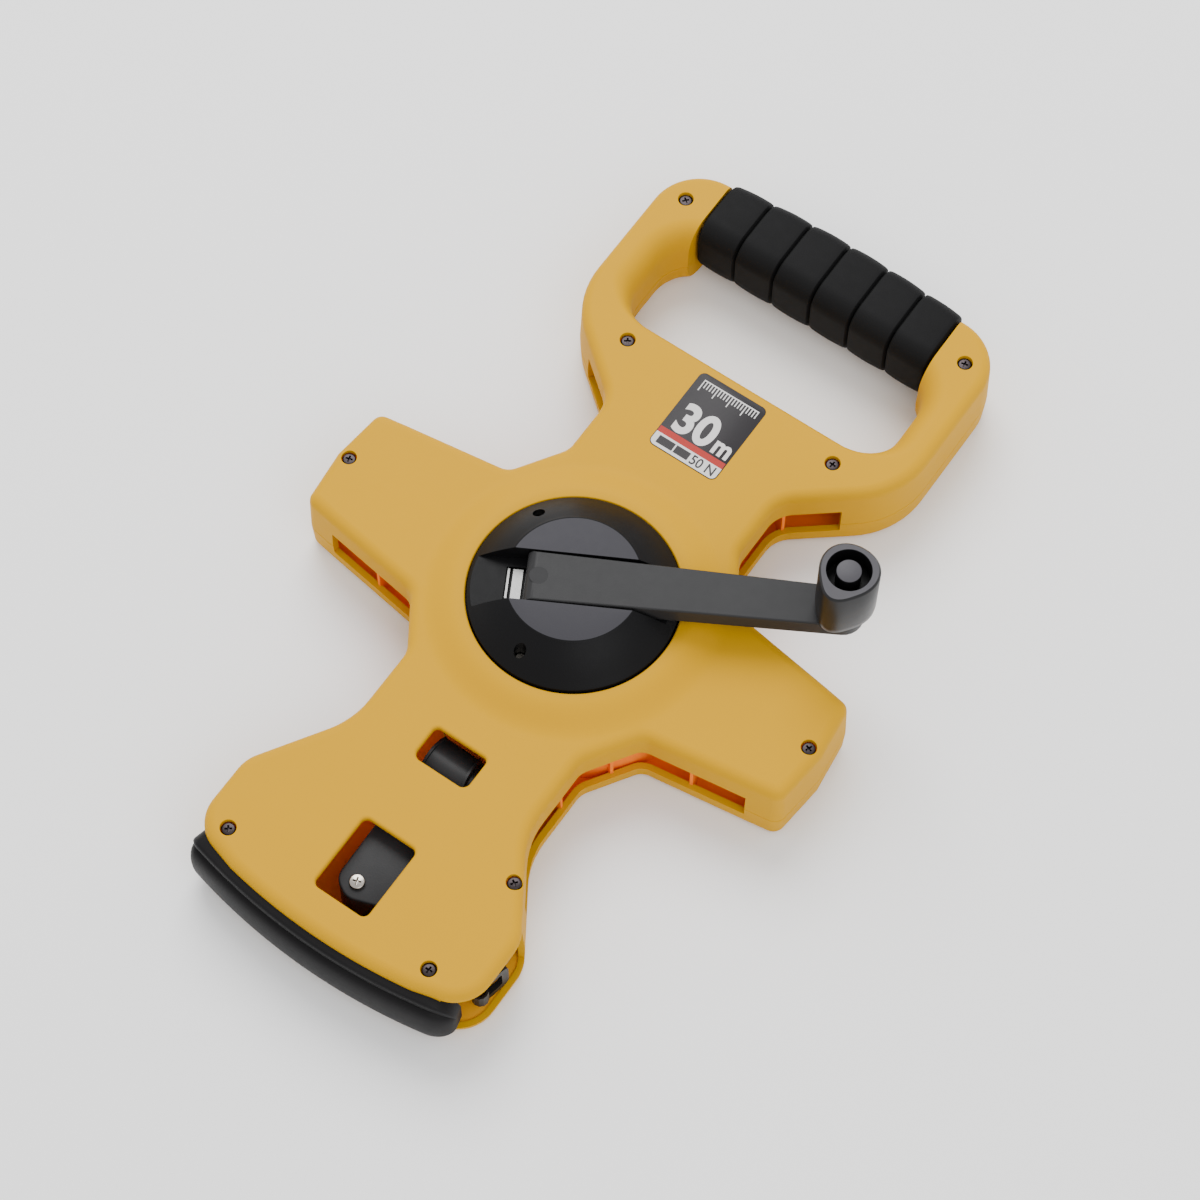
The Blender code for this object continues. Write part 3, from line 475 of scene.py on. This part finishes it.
# ---------------------------------------------------------------- camera, light, floor
def stage():
    """The camera, a pale floor just under the back face, a bright world and two soft lamps."""
    target = Vector((0.00762, 0.00491, 0.033))
    azimuth, elevation, distance = radians(34.96), radians(64.05), 1.1594
    back = Vector((cos(elevation) * sin(azimuth), -cos(elevation) * cos(azimuth),
                   sin(elevation)))
    lens = bpy.data.cameras.new("camera")
    lens.lens, lens.sensor_width = 99.5, 36.0
    lens.clip_start, lens.clip_end = 0.01, 50
    camera = bpy.data.objects.new("camera", lens)
    camera.location = target + back * distance
    camera.rotation_euler = back.to_track_quat("Z", "Y").to_euler()
    bpy.context.scene.collection.objects.link(camera)
    bpy.context.scene.camera = camera
    sheet = bmesh.new()
    bmesh.ops.create_grid(sheet, x_segments=4, y_segments=4, size=4000)
    floor = finish_mesh("floor", sheet)
    floor.data.materials.append(FLOOR)
    clear_of_back = 0.6
    floor.location.z = (BACK_Z - clear_of_back) * MM
    world = bpy.data.worlds.new("studio")
    world.use_nodes = True
    world.node_tree.nodes["Background"].inputs["Color"].default_value = (1, 1, 1, 1)
    world.node_tree.nodes["Background"].inputs["Strength"].default_value = 1.1
    bpy.context.scene.world = world
    for name, place, size, power in (("key", (-0.8, 1.0, 1.7), 1.5, 46),
                                     ("fill", (1.2, -0.6, 1.6), 1.6, 14)):
        lamp = bpy.data.lights.new(name, "AREA")
        lamp.shape, lamp.size, lamp.energy = "DISK", size, power
        light = bpy.data.objects.new(name, lamp)
        light.location = place
        light.rotation_euler = Vector(place).to_track_quat("Z", "Y").to_euler()
        bpy.context.scene.collection.objects.link(light)


# ---------------------------------------------------------------- casing
def fillet(points, z_flat, outwards, radius, steps=7, start=0.0):
    """Levels of a quarter round that ends flat at z_flat, from a wall `start` inside points."""
    sign = -1 if outwards else 1
    return [(inset(points, sign * (start + radius * across)), z_flat - radius + radius * up)
            for across, up in quarter_round(steps)]


def opening_levels(seam_z, wall_z, face_z):
    """The handle opening's wall: soft and wide beside the grip, tighter towards the label."""
    label_side, over, tight, lean = 108, 10, 0.45, 0.4

    def share(x, y):
        return tight + (1 - tight) * max(0.0, min(1.0, (y - label_side) / over))

    way = 1 if face_z > wall_z else -1
    levels = [(inset(OPENING, -GROOVE), seam_z), (OPENING, seam_z + way * GROOVE)]
    levels += [(inset(OPENING, -lean - OPENING_ROUND * across, share=share),
                wall_z + (face_z - wall_z) * up) for across, up in quarter_round(9)]
    return levels


def band(wanted, inwards, outwards):
    """A strip over the casing's wall, along the outline's wanted points."""
    stretch = [Vector(p) for p in OUTLINE if wanted(*p)]
    stretch[0] = stretch[0].lerp(stretch[1], 0.03)
    stretch[-1] = stretch[-1].lerp(stretch[-2], 0.03)
    return inset(stretch, -outwards, False) + inset(stretch, inwards, False)[::-1]


def casing_cutters():
    """What the shells lose: first the openings in their walls, then the hollow between them."""
    low_y, high_y, low_z, high_z = 138, 182, -1, 40     # well past the handle bar
    rounding_reach = 4.2                # keeps the hollow clear of the opening's rounding
    hollow = prism("hollow", [inset(OUTLINE, WALL + 0.3), inset(OPENING, -WALL - rounding_reach)],
                   BACK_Z + PLATE, FRONT_Z - PLATE)
    keep_bar = box("keep_bar", (-BAR_HALF - WALL, low_y, low_z), (BAR_HALF + WALL, high_y, high_z))
    cut(hollow, [keep_bar])
    recess = box("bar_recess", (-BAR_HALF, low_y, low_z), (BAR_HALF, high_y, high_z))
    cut(recess, [box("bar_core", (-BAR_HALF - 5, BAR_Y[0], BAR_Z[0]),
                     (BAR_HALF + 5, BAR_Y[1], BAR_Z[1]))])
    cutters = [recess]
    for side, name in ((1, "right"), (-1, "left")):
        upper = band(lambda x, y: 15 < y < 88 and 0 < x * side < 90.5, 7, 4)
        lower = band(lambda x, y: -101 < y < -15 and 0 < x * side < 90.5, 7, 4)
        cutters.append(prism(f"slot_upper_{name}", [upper], *SLOT_Z))
        cutters.append(prism(f"slot_lower_{name}", [lower], *SLOT_Z))
    corner = band(lambda x, y: x > 44 and y < -108, 6.3, 4.7)
    cutters.append(prism("mouth_corner", [corner], *MOUTH_Z))
    return cutters, [hollow]


def boss_lift(x, y, z):
    """The face swells up to the hub's opening; the walls below it follow less and less."""
    t = max(0.0, min(1.0, (BOSS_R - sqrt(x * x + y * y)) / (BOSS_R - BOSS_TOP_R)))
    follow = max(0.0, min(1.0, (z - BOSS_ROOT_Z) / (FRONT_Z - BOSS_ROOT_Z)))
    return z + (BOSS_TOP - FRONT_Z) * t * t * (3 - 2 * t) * follow


def boss_levels(low_z):
    """The hub's opening and the face round it, before the face is swelled."""
    edge, count = 0.7, 160
    levels = [(circle(HUB_OPENING_R, count), low_z), (circle(HUB_OPENING_R, count), BOSS_ROOT_Z)]
    levels += [(circle(HUB_OPENING_R + edge * across, count), FRONT_Z - edge * (1 - up))
               for across, up in quarter_round(4)]
    levels += [(circle(radius, count), FRONT_Z) for radius in range(40, 48)]
    return levels


def boss_points():
    """Corners for the outer part of the swelling, where it meets the notches' rounded edges."""
    free = [inset(OUTLINE, EDGE_R + DRAFT + 0.9)]
    rings = [p for k in range(6) for p in circle(48.3 + 1.3 * k, 160)]
    return [p for p in rings if inside(free, *p)]


def well_levels(points, low_z, edge, steps=4):
    """A hole through the face, whose rim is rounded by edge."""
    rim = fillet(points, FRONT_Z, True, edge, steps=steps)
    return [(points, low_z)] + rim


def window_outline(low, high, bow):
    """A window whose long sides follow the drum, bowed away from its axis."""
    points = rectangle(-WINDOW_HALF, WINDOW_HALF, low, high, WINDOW_CORNER)
    return [(x, y + bow * x * x / (2 * abs(high))) for x, y in points]


def front_shell():
    """The front half, solid: its drafted walls, rounded face, windows, hub opening and wells.
    Wells too near the rounded edge for a rim of their own are cut afterwards."""
    low = PARTING_Z + SEAM
    outer = [(inset(OUTLINE, GROOVE), low), (OUTLINE, low + GROOVE)]
    outer += fillet(OUTLINE, FRONT_Z, False, EDGE_R, start=DRAFT)
    stacks = [outer, opening_levels(low, OPENING_EDGE_Z[1], FRONT_Z), boss_levels(low)]
    stacks += [well_levels(window_outline(*w), low, WINDOW_EDGE) for w in WINDOWS]
    wells = []
    for name in CASE_SCREWS:
        at = middle(name)
        rim = circle(WELL_R, 28, at.x, at.y)
        edge, _ = nearest(OUTLINE, at.x, at.y)
        if (edge - at.to_2d()).length > EDGE_R + DRAFT + WELL_R + 0.4:
            stacks.append(well_levels(rim, low, 0.35, 2))
        else:
            wells.append(prism(f"{name}_well", [rim], BACK_Z, BOSS_TOP))
    shell = lofted("front_casing", stacks, extra=boss_points(), lift=boss_lift)
    return cut(shell, wells)


def rear_shell():
    """The rear half, solid: a flat back with a rounded edge."""
    top = PARTING_Z - SEAM
    outer = [(inset(OUTLINE, DRAFT / 2 + BACK_R * across), BACK_Z + BACK_R - BACK_R * up)
             for across, up in quarter_round(6)[::-1]]
    outer += [(OUTLINE, top - GROOVE), (inset(OUTLINE, GROOVE), top)]
    stacks = [outer, opening_levels(top, OPENING_EDGE_Z[0], BACK_Z)[::-1]]
    return lofted("rear_casing", stacks)


def inner_walls():
    """The wall round the drum and the ribs inside the casing's walls, seen in the slots."""
    pieces = []
    into_plate, rib_top, rib_half = 0.2, 28.6, 0.6
    drum_r = (span("drum")[1].x - span("drum")[0].x) / 2
    inner_r, outer_r = drum_r + 0.7, drum_r + 1.9
    for k, centre in enumerate((40, 140, 220, 320)):
        beside_exit = centre == 220            # this arc is shorter: the tape leaves the drum there
        arc = [radians(centre + a) for a in range(-24, 19 if beside_exit else 25, 3)]
        points = [(outer_r * cos(a), outer_r * sin(a)) for a in arc[::-1]]
        points += [(inner_r * cos(a), inner_r * sin(a)) for a in arc]
        pieces.append(prism(f"drum_wall_{k}", [points], PLATE - into_plate,
                            FRONT_Z - PLATE + into_plate))
    for k, (x, y) in enumerate(RIBS + [(-x, y) for x, y in RIBS]):
        edge, inwards = nearest(OUTLINE, x, y)
        place = (Matrix.Translation((*edge, 0))
                 @ Matrix.Rotation(atan2(inwards.y, inwards.x), 4, "Z"))
        pieces.append(box(f"rib_{k}", (1.8, -rib_half, PLATE - into_plate), (8, rib_half, rib_top),
                          place))
    return join("casing_ribs", pieces)


def mouth():
    """The smooth floor of the tape's mouth, its yellow brightened as painted light, and a black
    strip under the front's edge as painted shade.
    """
    floor = prism("mouth_floor", [inset(OUTLINE, WALL + 0.25)], PLATE - 0.5, MOUTH_Z[0] - 0.8)
    cut(floor, [box("mouth_zone", (20, -160, 0), (70, -100, 10))], "INTERSECT")
    # the floor takes the brightened yellow, painted light
    settle(floor, LEDGE_PAINTED_LIGHT, "casing", "casing_yellow")
    # painted shade: a black strip just inside the wall, under the front's edge, darkening the top
    # of the mouth
    low, high = 20, MOUTH_Z[1] - 0.3
    sections = []
    for k in range(14):
        edge, inwards = nearest(OUTLINE, 64, -106.5 - 1.4 * k)
        near, far = edge + inwards * 2.7, edge + inwards * 3.9
        sections.append([(*near, low), (*far, low), (*far, high), (*near, high)])
    shade_strip = skinned("mouth_painted_shade_strip", sections)
    settle(shade_strip, GUIDE_BLACK, "casing", "guide_plastic")


def casing():
    """Both shells with their openings and hollow, and the inner walls seen through them."""
    for shell, node in ((front_shell(), "front_shell"), (rear_shell(), "rear_shell")):
        openings, hollow = casing_cutters()
        cut(shell, openings)
        # the faces that the hollow leaves take the painted shade of the inside
        cut(shell, hollow, looks=(YELLOW, INSIDE_PAINTED_SHADE))
        weighted(shell)
        settle(shell, None, "casing", "casing_yellow", node)
    # the ribs and the drum's wall take the same painted shade
    settle(inner_walls(), INSIDE_PAINTED_SHADE, "casing", "casing_yellow")
    mouth()


# ---------------------------------------------------------------- grip and bumper
def grip():
    """The ribbed rubber grip: six rounded lands with grooves between, in two halves."""
    x0, x1 = GRIP_LOW.x - 0.7, GRIP_HIGH.x
    y0, y1, z0, z1 = GRIP_LOW.y + 2.7, 177.6, GRIP_LOW.z, GRIP_HIGH.z
    bow = GRIP_HIGH.y - y1
    lands, groove, deep, front_r, back_r, end = 6, 2.6, 1.5, 8.0, 13.0, 1.6
    half_seam, crown_height, steps = 0.12, 0.35, 20
    length = (x1 - x0) / lands

    def section(x, shrink):
        top = y1 + bow * sin(pi * (x - x0) / (x1 - x0))
        corners = [(y0 + shrink, z0 + shrink, back_r), (y0 + shrink, z1 - shrink, front_r),
                   (top - shrink, z1 - shrink, front_r), (top - shrink, z0 + shrink, back_r)]
        return [(x, y, z) for y, z in rounded(corners, 7.5)]

    stations = []
    for land in range(lands):
        left, right = x0 + land * length, x0 + (land + 1) * length
        outer_left, outer_right = land == 0, land == lands - 1
        for k in range(0 if outer_left else 1, steps + 1):
            u = k / steps
            x = left + (right - left) * u
            near = min(x - left, right - x)
            at_end = (outer_left and u < 0.5) or (outer_right and u > 0.5)
            reach, depth = (end, end) if at_end else (groove / 2, deep)
            crown = crown_height * (2 * u - 1) ** 2
            dip = depth * (1 - sqrt(max(0.0, 1 - (1 - near / reach) ** 2))) if near < reach else 0
            stations.append((x, dip + crown))
    for name, keep_low in (("grip_cover_rear", True), ("grip_cover_front", False)):
        body = skinned(name, [section(x, dip) for x, dip in stations])
        shape = bmesh.new()
        shape.from_mesh(body.data)
        plane = (PARTING_Z - half_seam if keep_low else PARTING_Z + half_seam) * MM
        geometry = shape.verts[:] + shape.edges[:] + shape.faces[:]
        bmesh.ops.bisect_plane(shape, geom=geometry, plane_co=(0, 0, plane), plane_no=(0, 0, 1),
                               clear_outer=keep_low, clear_inner=not keep_low)
        bmesh.ops.triangle_fill(shape, edges=[e for e in shape.edges if e.is_boundary],
                                use_beauty=True)
        bmesh.ops.recalc_face_normals(shape, faces=shape.faces)
        shape.to_mesh(body.data)
        shape.free()
        node = "grip_rear" if keep_low else "grip_front"
        settle(body, RUBBER, "casing", "grip_rubber", node)


def bumper():
    """The foot's rubber: a broad roll with a thin band above it, swept along the foot."""
    low, high = span("bumper")
    roll_out, band_out, buried = 5.5, 2.3, -4
    roll_root, roll_z, roll_half = 1.4, 13.7, 10.4
    profile = [(buried, high.z), (band_out - 1.2, high.z), (band_out - 0.4, high.z - 0.4),
               (band_out, high.z - 1.2), (band_out, high.z - 3.6), (band_out - 0.7, high.z - 4.6)]
    steps = 14
    for k in range(steps + 1):
        a = pi * k / steps
        profile.append((roll_root + (roll_out - roll_root) * sin(a) ** 0.7,
                        roll_z + roll_half * cos(a)))
    profile.append((buried, roll_z - roll_half - 0.1))
    x0, x1 = low.x + 0.3, high.x + 3.0
    sections = []
    count = 80
    for k in range(count + 1):
        u = (1 - cos(pi * k / count)) / 2
        x = x0 + (x1 - x0) * u
        slope = x / sqrt(FOOT_RADIUS ** 2 - x * x)
        out = Vector((slope, -1)).normalized()
        edge = Vector((x, foot_y(x)))
        near = min(x - x0, x1 - x)
        soft = 5.5 if x < 0 else 9.5
        full = sqrt(max(0.0, 1 - (1 - near / soft) ** 2)) if near < soft else 1.0
        section = []
        for n, z in profile:
            reach = n if n < 0 else n * full
            height = roll_z + (z - roll_z) * (0.35 + 0.65 * full)
            section.append((*(edge + out * (reach + 1.2 * (full - 1))), height))
        sections.append(section)
    body = skinned("foot_bumper", sections, sharp=50)
    settle(body, BUMPER, "casing", "bumper_rubber", "bumper")


# ---------------------------------------------------------------- screws
def phillips(name, radius, top, low, recess, dome=0.25, slot=0.28):
    """A pan head with a cross recess, over a plain shank, at the origin."""
    profile = [(0, top)]
    profile += [(radius * 0.8 * k / 4, top - dome * (k / 4) ** 2 * 0.5) for k in range(1, 5)]
    profile += [(radius * (0.8 + 0.2 * sin(pi / 2 * k / 4)), top - dome * 0.5
                 - radius * 0.2 * (1 - cos(pi / 2 * k / 4))) for k in range(1, 5)]
    profile += [(radius, top - recess), (radius * 0.55, top - recess - 0.2),
                (radius * 0.55, low), (0, low)]
    head = turned(name, profile, steps=40)
    arms = []
    for turn in (0, 90):
        long, wide = radius * 0.62, radius * slot / 2
        sections = [[(-long * s, -wide * w, z), (long * s, -wide * w, z), (long * s, wide * w, z),
                     (-long * s, wide * w, z)]
                    for s, w, z in ((0.45, 0.7, top - radius * 0.55), (1.0, 1.1, top + 0.3))]
        arms.append(skinned(f"{name}_arm_{turn}", sections, Matrix.Rotation(radians(turn), 4, "Z")))
    return cut(head, arms, sharp=30)


def screws():
    """The casing's screws, each turned differently, and the silver one of the tape guide."""
    master = phillips("case_screw_master", HEAD_R, FRONT_Z - HEAD_DEPTH, 5.0, 1.8)
    for k, node in enumerate(CASE_SCREWS):
        piece = bpy.data.objects.new(f"screw_{k + 1}", master.data.copy())
        bpy.context.scene.collection.objects.link(piece)
        at = middle(node)
        piece.location = (at.x * MM, at.y * MM, 0)
        piece.rotation_euler.z = radians(37 * k + 12)
        settle(piece, SCREW_BLACK, "casing", "black_steel", node)
    bpy.data.objects.remove(master)
    top = span("guide_screw")[1].z
    silver = phillips("guide_screw_head", 2.8, top + 0.2, 6.0, 1.6, dome=0.6, slot=0.24)
    at = middle("guide_screw") + Vector((0, -0.8, 0))
    silver.location = (at.x * MM, at.y * MM, 0)
    silver.rotation_euler.z = radians(20)
    settle(silver, BRIGHT, "casing", "bright_steel", "guide_screw")


# ---------------------------------------------------------------- hub, arm and knob
def hub():
    """The crank's hub: a flat top painted grey as the overhead light's reflection, a cone with
    three screw holes, and the arm's trough.
    """
    edge, hollow_z = 0.4, 36.5
    profile = [(0, HUB_TOP_Z), (HUB_FLAT_R - edge, HUB_TOP_Z), (HUB_FLAT_R, HUB_TOP_Z - 0.12),
               (HUB_FLAT_R + edge, HUB_TOP_Z - 0.45)]
    for k in range(1, 12):
        t = k / 12
        radius = HUB_FLAT_R + edge + (HUB_R - 0.5 - HUB_FLAT_R - edge) * t
        sag = 0.55 * sin(pi * t)
        profile.append((radius, HUB_TOP_Z - 0.45 - (HUB_TOP_Z - 0.45 - HUB_RIM_Z) * t + sag))
    profile += [(HUB_R - 0.5, HUB_RIM_Z + 0.1), (HUB_R - 0.1, HUB_RIM_Z - 0.3),
                (HUB_R - 0.05, HUB_RIM_Z - 0.8), (HUB_R - 0.05, HUB_LOW_Z),
                (HUB_R - 2, HUB_LOW_Z), (HUB_R - 2, hollow_z), (0, hollow_z)]
    body = turned("hub_cover", profile, steps=160)
    ramp = [(-46, 38.2), (-23.5, 40.5), (-22.5, 40.8), (46, 40.8), (46, 60), (-46, 60)]
    upright = CRANK @ Matrix.Rotation(pi / 2, 4, "X")
    trough = prism("trough", [ramp], -9.85, 9.85, upright)
    well = box("spring_well", (-24.3, -6.3, 38.6), (-9, 6.3, 45), CRANK)
    holes = []
    for name in ("hub_screw_1", "hub_screw_2", "hub_screw_3"):
        at = middle(name)
        holes.append(prism(name + "_well", [circle(2.2, 32, at.x, at.y)],
                           span(name)[1].z - 0.9, 60))
    cut(body, [trough, well] + holes, sharp=28)
    body.data.materials.clear()
    settle(body, HUB_BLACK, "crank", "hub_plastic", "crank_hub")
    # faces pointing straight up at the top take the painted reflection
    body.data.materials.append(HUB_TOP_PAINTED_SHEEN)
    for face in body.data.polygons:
        if face.normal.z > 0.999 and face.center.z > (HUB_TOP_Z - 0.05) * MM:
            face.material_index = 1


def detent():
    """The spring plate under the hinge: a broad strip and a narrow one."""
    low, high = span("detent_spring")
    half = 5.9
    strips = [box(f"strip_{left}", (left, -half, low.z), (right, half, high.z), CRANK)
              for left, right in ((-21.9, -18.3), (-23.9, -22.9))]
    piece = join("spring_plate", strips)
    soften(piece, 0.15)
    settle(piece, BRUSHED, "crank", "bright_steel", "detent_spring")


def arm():
    """The crank arm: tapered, crowned edges, rounded over the hinge and round the knob."""
    near, far = 9.35, 7.6
    low, high = ARM_Z
    axle = (low + high) / 2
    half = (high - low) / 2
    edge = 0.7
    outline = [(HINGE_S - half, near)]
    outline += [(KNOB_S + far * sin(pi * k / 12), far * cos(pi * k / 12)) for k in range(13)]
    outline.append((HINGE_S - half, -near))
    levels = [(inset(outline, edge * across), low + edge - edge * up)
              for across, up in quarter_round(4)[::-1]]
    levels += [(inset(outline, edge * across), high - edge + edge * up)
               for across, up in quarter_round(4)]
    body = lofted("folding_arm", [levels], CRANK)
    keep = [(HINGE_S - half * cos(radians(a)), axle + half * sin(radians(a)))
            for a in range(-90, 91, 9)]
    keep += [(KNOB_S + 20, high + 3), (KNOB_S + 20, low - 3)]
    side = prism("arm_side", [keep], -20, 20, CRANK @ Matrix.Rotation(pi / 2, 4, "X"))
    pin_hole = prism("knob_hole", [circle(PIN_BORE_R, 32, KNOB_AT.x, KNOB_AT.y)], 30, 60)
    cut(body, [side], "INTERSECT")
    cut(body, [pin_hole])
    weighted(body)
    x, y = along(CRANK_ANGLE, HINGE_S + 0.8)
    mark = turned("hinge_mark", [(0, high + 0.01), (3.3, high + 0.01), (3.35, high - 0.1),
                                 (0, high - 0.1)], Matrix.Translation((x, y, 0)), 40)
    settle(body, ARM_BLACK, "arm", "arm_plastic", "crank_arm")
    settle(mark, ARM_MARK, "arm", "arm_plastic")


def knob():
    """The handle of the crank: a round section with one strong corner and two faint ones, a
    chamfered top face painted lighter as the overhead light's reflection, and a well round the
    pin's head painted darker as its shade."""
    low, high = span("knob")
    turn, count = radians(-87), 120
    mean_r, corner, lobes = 10.55, 2.0, 0.3
    well, well_z = 7.75, high.z - 8.9
    post_r, shaft_r = 4.4, PIN_BORE_R - 0.3

    def ring(radius):
        return circle(radius, count, KNOB_AT.x, KNOB_AT.y)

    def outline(shrink):
        points = []
        for k in range(count):
            a = -2 * pi * k / count
            radius = mean_r + corner * max(0.0, cos(a)) ** 9 + lobes * cos(3 * a) - shrink
            points.append((radius * cos(a + turn) + KNOB_AT.x,
                           radius * sin(a + turn) + KNOB_AT.y))
        return points

    outer = [(outline(1.6), low.z), (outline(1.4), low.z + 1.8), (outline(0.5), low.z + 2.0),
             (outline(0.2), low.z + 2.4), (outline(0), low.z + 5), (outline(0), high.z - 0.9),
             (outline(0.15), high.z - 0.6), (outline(0.75), high.z)]
    hole = [(ring(PIN_BORE_R), low.z), (ring(PIN_BORE_R), well_z - 0.1), (ring(well), well_z),
            (ring(well), high.z - 0.15), (ring(well + 0.15), high.z)]
    body = lofted("knob_body", [outer, hole])
    settle(body, KNOB_BLACK, "knob", "knob_plastic", "knob")
    # the top face takes the painted reflection, and the faces in the well take the darker hub black
    # as painted shade
    body.data.materials.append(KNOB_TOP_PAINTED_SHEEN)
    body.data.materials.append(HUB_BLACK)
    for face in body.data.polygons:
        reach = (face.center.xy / MM - KNOB_AT.xy).length
        if face.normal.z > 0.9 and face.center.z > (high.z - 0.1) * MM:
            face.material_index = 1
        elif reach < well + 0.1 and face.center.z > (well_z - 0.6) * MM:
            face.material_index = 2
    top = span("knob_pin")[1].z
    profile = [(0, top), (post_r - 0.5, top), (post_r - 0.15, top - 0.1), (post_r, top - 0.4),
               (post_r, well_z + 0.2), (shaft_r, well_z + 0.2), (shaft_r, ARM_Z[0] + 0.4),
               (0, ARM_Z[0] + 0.4)]
    post = turned("knob_post", profile, Matrix.Translation((KNOB_AT.x, KNOB_AT.y, 0)))
    settle(post, HUB_BLACK, "arm", "knob_insert", "knob_pin")
    # the pin's top face takes the painted reflection too
    post.data.materials.append(KNOB_TOP_PAINTED_SHEEN)
    for face in post.data.polygons:
        if face.normal.z > 0.9 and face.center.z > (top - 0.15) * MM:
            face.material_index = 1


# ---------------------------------------------------------------- label
def flat_text(name, words, size, x, y, z, look, bold, squeeze):
    """Raised print that starts at (x, y), turned into a mesh."""
    thick = 0.06
    curve = bpy.data.curves.new(name, "FONT")
    curve.body, curve.size, curve.extrude = words, size * MM, thick * MM / 2
    curve.offset = size * MM * bold
    text = bpy.data.objects.new(name + "_curve", curve)
    bpy.context.scene.collection.objects.link(text)
    bpy.context.view_layer.update()
    mesh = bpy.data.meshes.new_from_object(text.evaluated_get(
        bpy.context.evaluated_depsgraph_get()))
    bpy.data.objects.remove(text)
    mesh.transform(Matrix.Translation((x * MM, y * MM, z * MM))
                   @ Matrix.Diagonal((squeeze, 1, 1, 1)))
    made = bpy.data.objects.new(name, mesh)
    bpy.context.scene.collection.objects.link(made)
    settle(made, look, "casing", "label_print")


def label():
    """The printed label: ruler ticks, the length, a red stripe, and a white foot with the pull."""
    low, high = span("label")
    top = FRONT_Z + 0.1
    plate = rectangle(low.x, high.x, low.y, high.y, 2.4)
    sheet = lofted("label_plate", [[(plate, FRONT_Z - 0.2), (plate, top - 0.04),
                                    (inset(plate, 0.1), top)]])
    settle(sheet, LABEL_DARK, "casing", "label_print", "label")
    foot = high.y - 29.6

    def lower_part(y1, name, look, lift):
        below = [(x, min(y, y1)) for x, y in inset(plate, 0.35)]
        unique = [p for k, p in enumerate(below)
                  if (Vector(p) - Vector(below[k - 1])).length > 1e-3]
        piece = prism(name, [unique], top - 0.1, top + lift)
        settle(piece, look, "casing", "label_print")

    lower_part(foot + 2.6, "label_stripe", LABEL_RED, 0.03)
    lower_part(foot, "label_foot", LABEL_WHITE, 0.06)
    flat_text("label_length", "30", 17.5, low.x + 3.0, foot + 3.9, top + 0.02, LABEL_WHITE,
              bold=0.035, squeeze=0.92)
    flat_text("label_unit", "m", 10.5, low.x + 20.3, foot + 3.9, top + 0.02, LABEL_WHITE,
              bold=0.035, squeeze=0.9)
    flat_text("label_pull", "50 N", 5.6, low.x + 16.6, low.y + 1.3, top + 0.06, LABEL_DARK,
              bold=0.015, squeeze=0.9)

    def printed(name, x0, x1, y0, y1, lift):
        return prism(name, [rectangle(x0, x1, y0, y1)], top - 0.05, top + lift)

    blocks = [printed(f"block_{left}", low.x + left, low.x + right, low.y + 1.6, low.y + 4.9, 0.09)
              for left, right in ((2.4, 9.2), (9.8, 15.8))]
    settle(join("label_blocks", blocks), LABEL_DARK, "casing", "label_print")
    first, pitch, count, base = low.x + 2.8, 1.22, 20, high.y - 3
    ticks = []
    for k in range(count):
        tall = 4.6 if k % 5 == 0 else 2.8
        x = first + pitch * k
        ticks.append(printed(f"tick_{k}", x, x + 0.42, base - tall, base, 0.05))
    ticks.append(printed("tick_line", first, low.x + 26.4, base, base + 0.5, 0.05))
    settle(join("label_ticks", ticks), LABEL_WHITE, "casing", "label_print")


# ---------------------------------------------------------------- behind the windows
def guide():
    """The tape guide as seen in the windows: a plate with a round corner at its screw, a skirt
    under its lower edge, and the curved deflector with its rib under the upper window."""
    foot, top = PLATE + 0.4, span("tape_guide")[1].z
    corner = rounded([(-8.8, -104.5, 0), (24, -104.5, 0), (24, -123.8, 0), (9.0, -129.2, 0),
                      (-1.0, -132.6, 6.5), (-8.3, -128.5, 6.0)], 8)
    plate = lofted("guide_plate", [[(corner, foot)] + fillet(corner, top, False, 0.8, steps=4)])
    rest = rounded([(24, -104.5, 2), (40, -104.5, 3), (50, -108, 2), (52.2, -113, 2),
                    (52.2, -120.5, 2), (41, -131.5, 3), (24, -131, 2)], 10)
    block = prism("guide_block", [rest], foot, top)
    root, right, steps = 4, 30, 12
    sections = []
    for k in range(steps + 1):
        t = k / steps
        y = -64 - 19 * t
        lift = 25.5 - 5.5 * (2 * t - 1) ** 2
        left, rib = -9.6 + 0.4 * t, 4.6 + 3.2 * t
        sections.append([(left, y, root), (left, y, lift + 0.9), (left + 0.9, y, lift + 0.9),
                         (left + 1.1, y, lift), (rib, y, lift - 0.6), (rib + 0.2, y, lift + 0.7),
                         (rib + 1.0, y, lift + 0.7), (rib + 1.3, y, lift - 2.2),
                         (right, y, lift - 4.0), (right, y, root)])
    curve = skinned("guide_deflector", sections, sharp=30)
    settle(plate, GUIDE_BLACK, "casing", "guide_plastic", "tape_guide")
    settle(block, GUIDE_BLACK, "casing", "guide_plastic")
    settle(curve, GUIDE_BLACK, "casing", "guide_plastic")


dress_nodes()
stage()
casing()
grip()
bumper()
screws()
hub()
detent()
arm()
knob()
label()
guide()
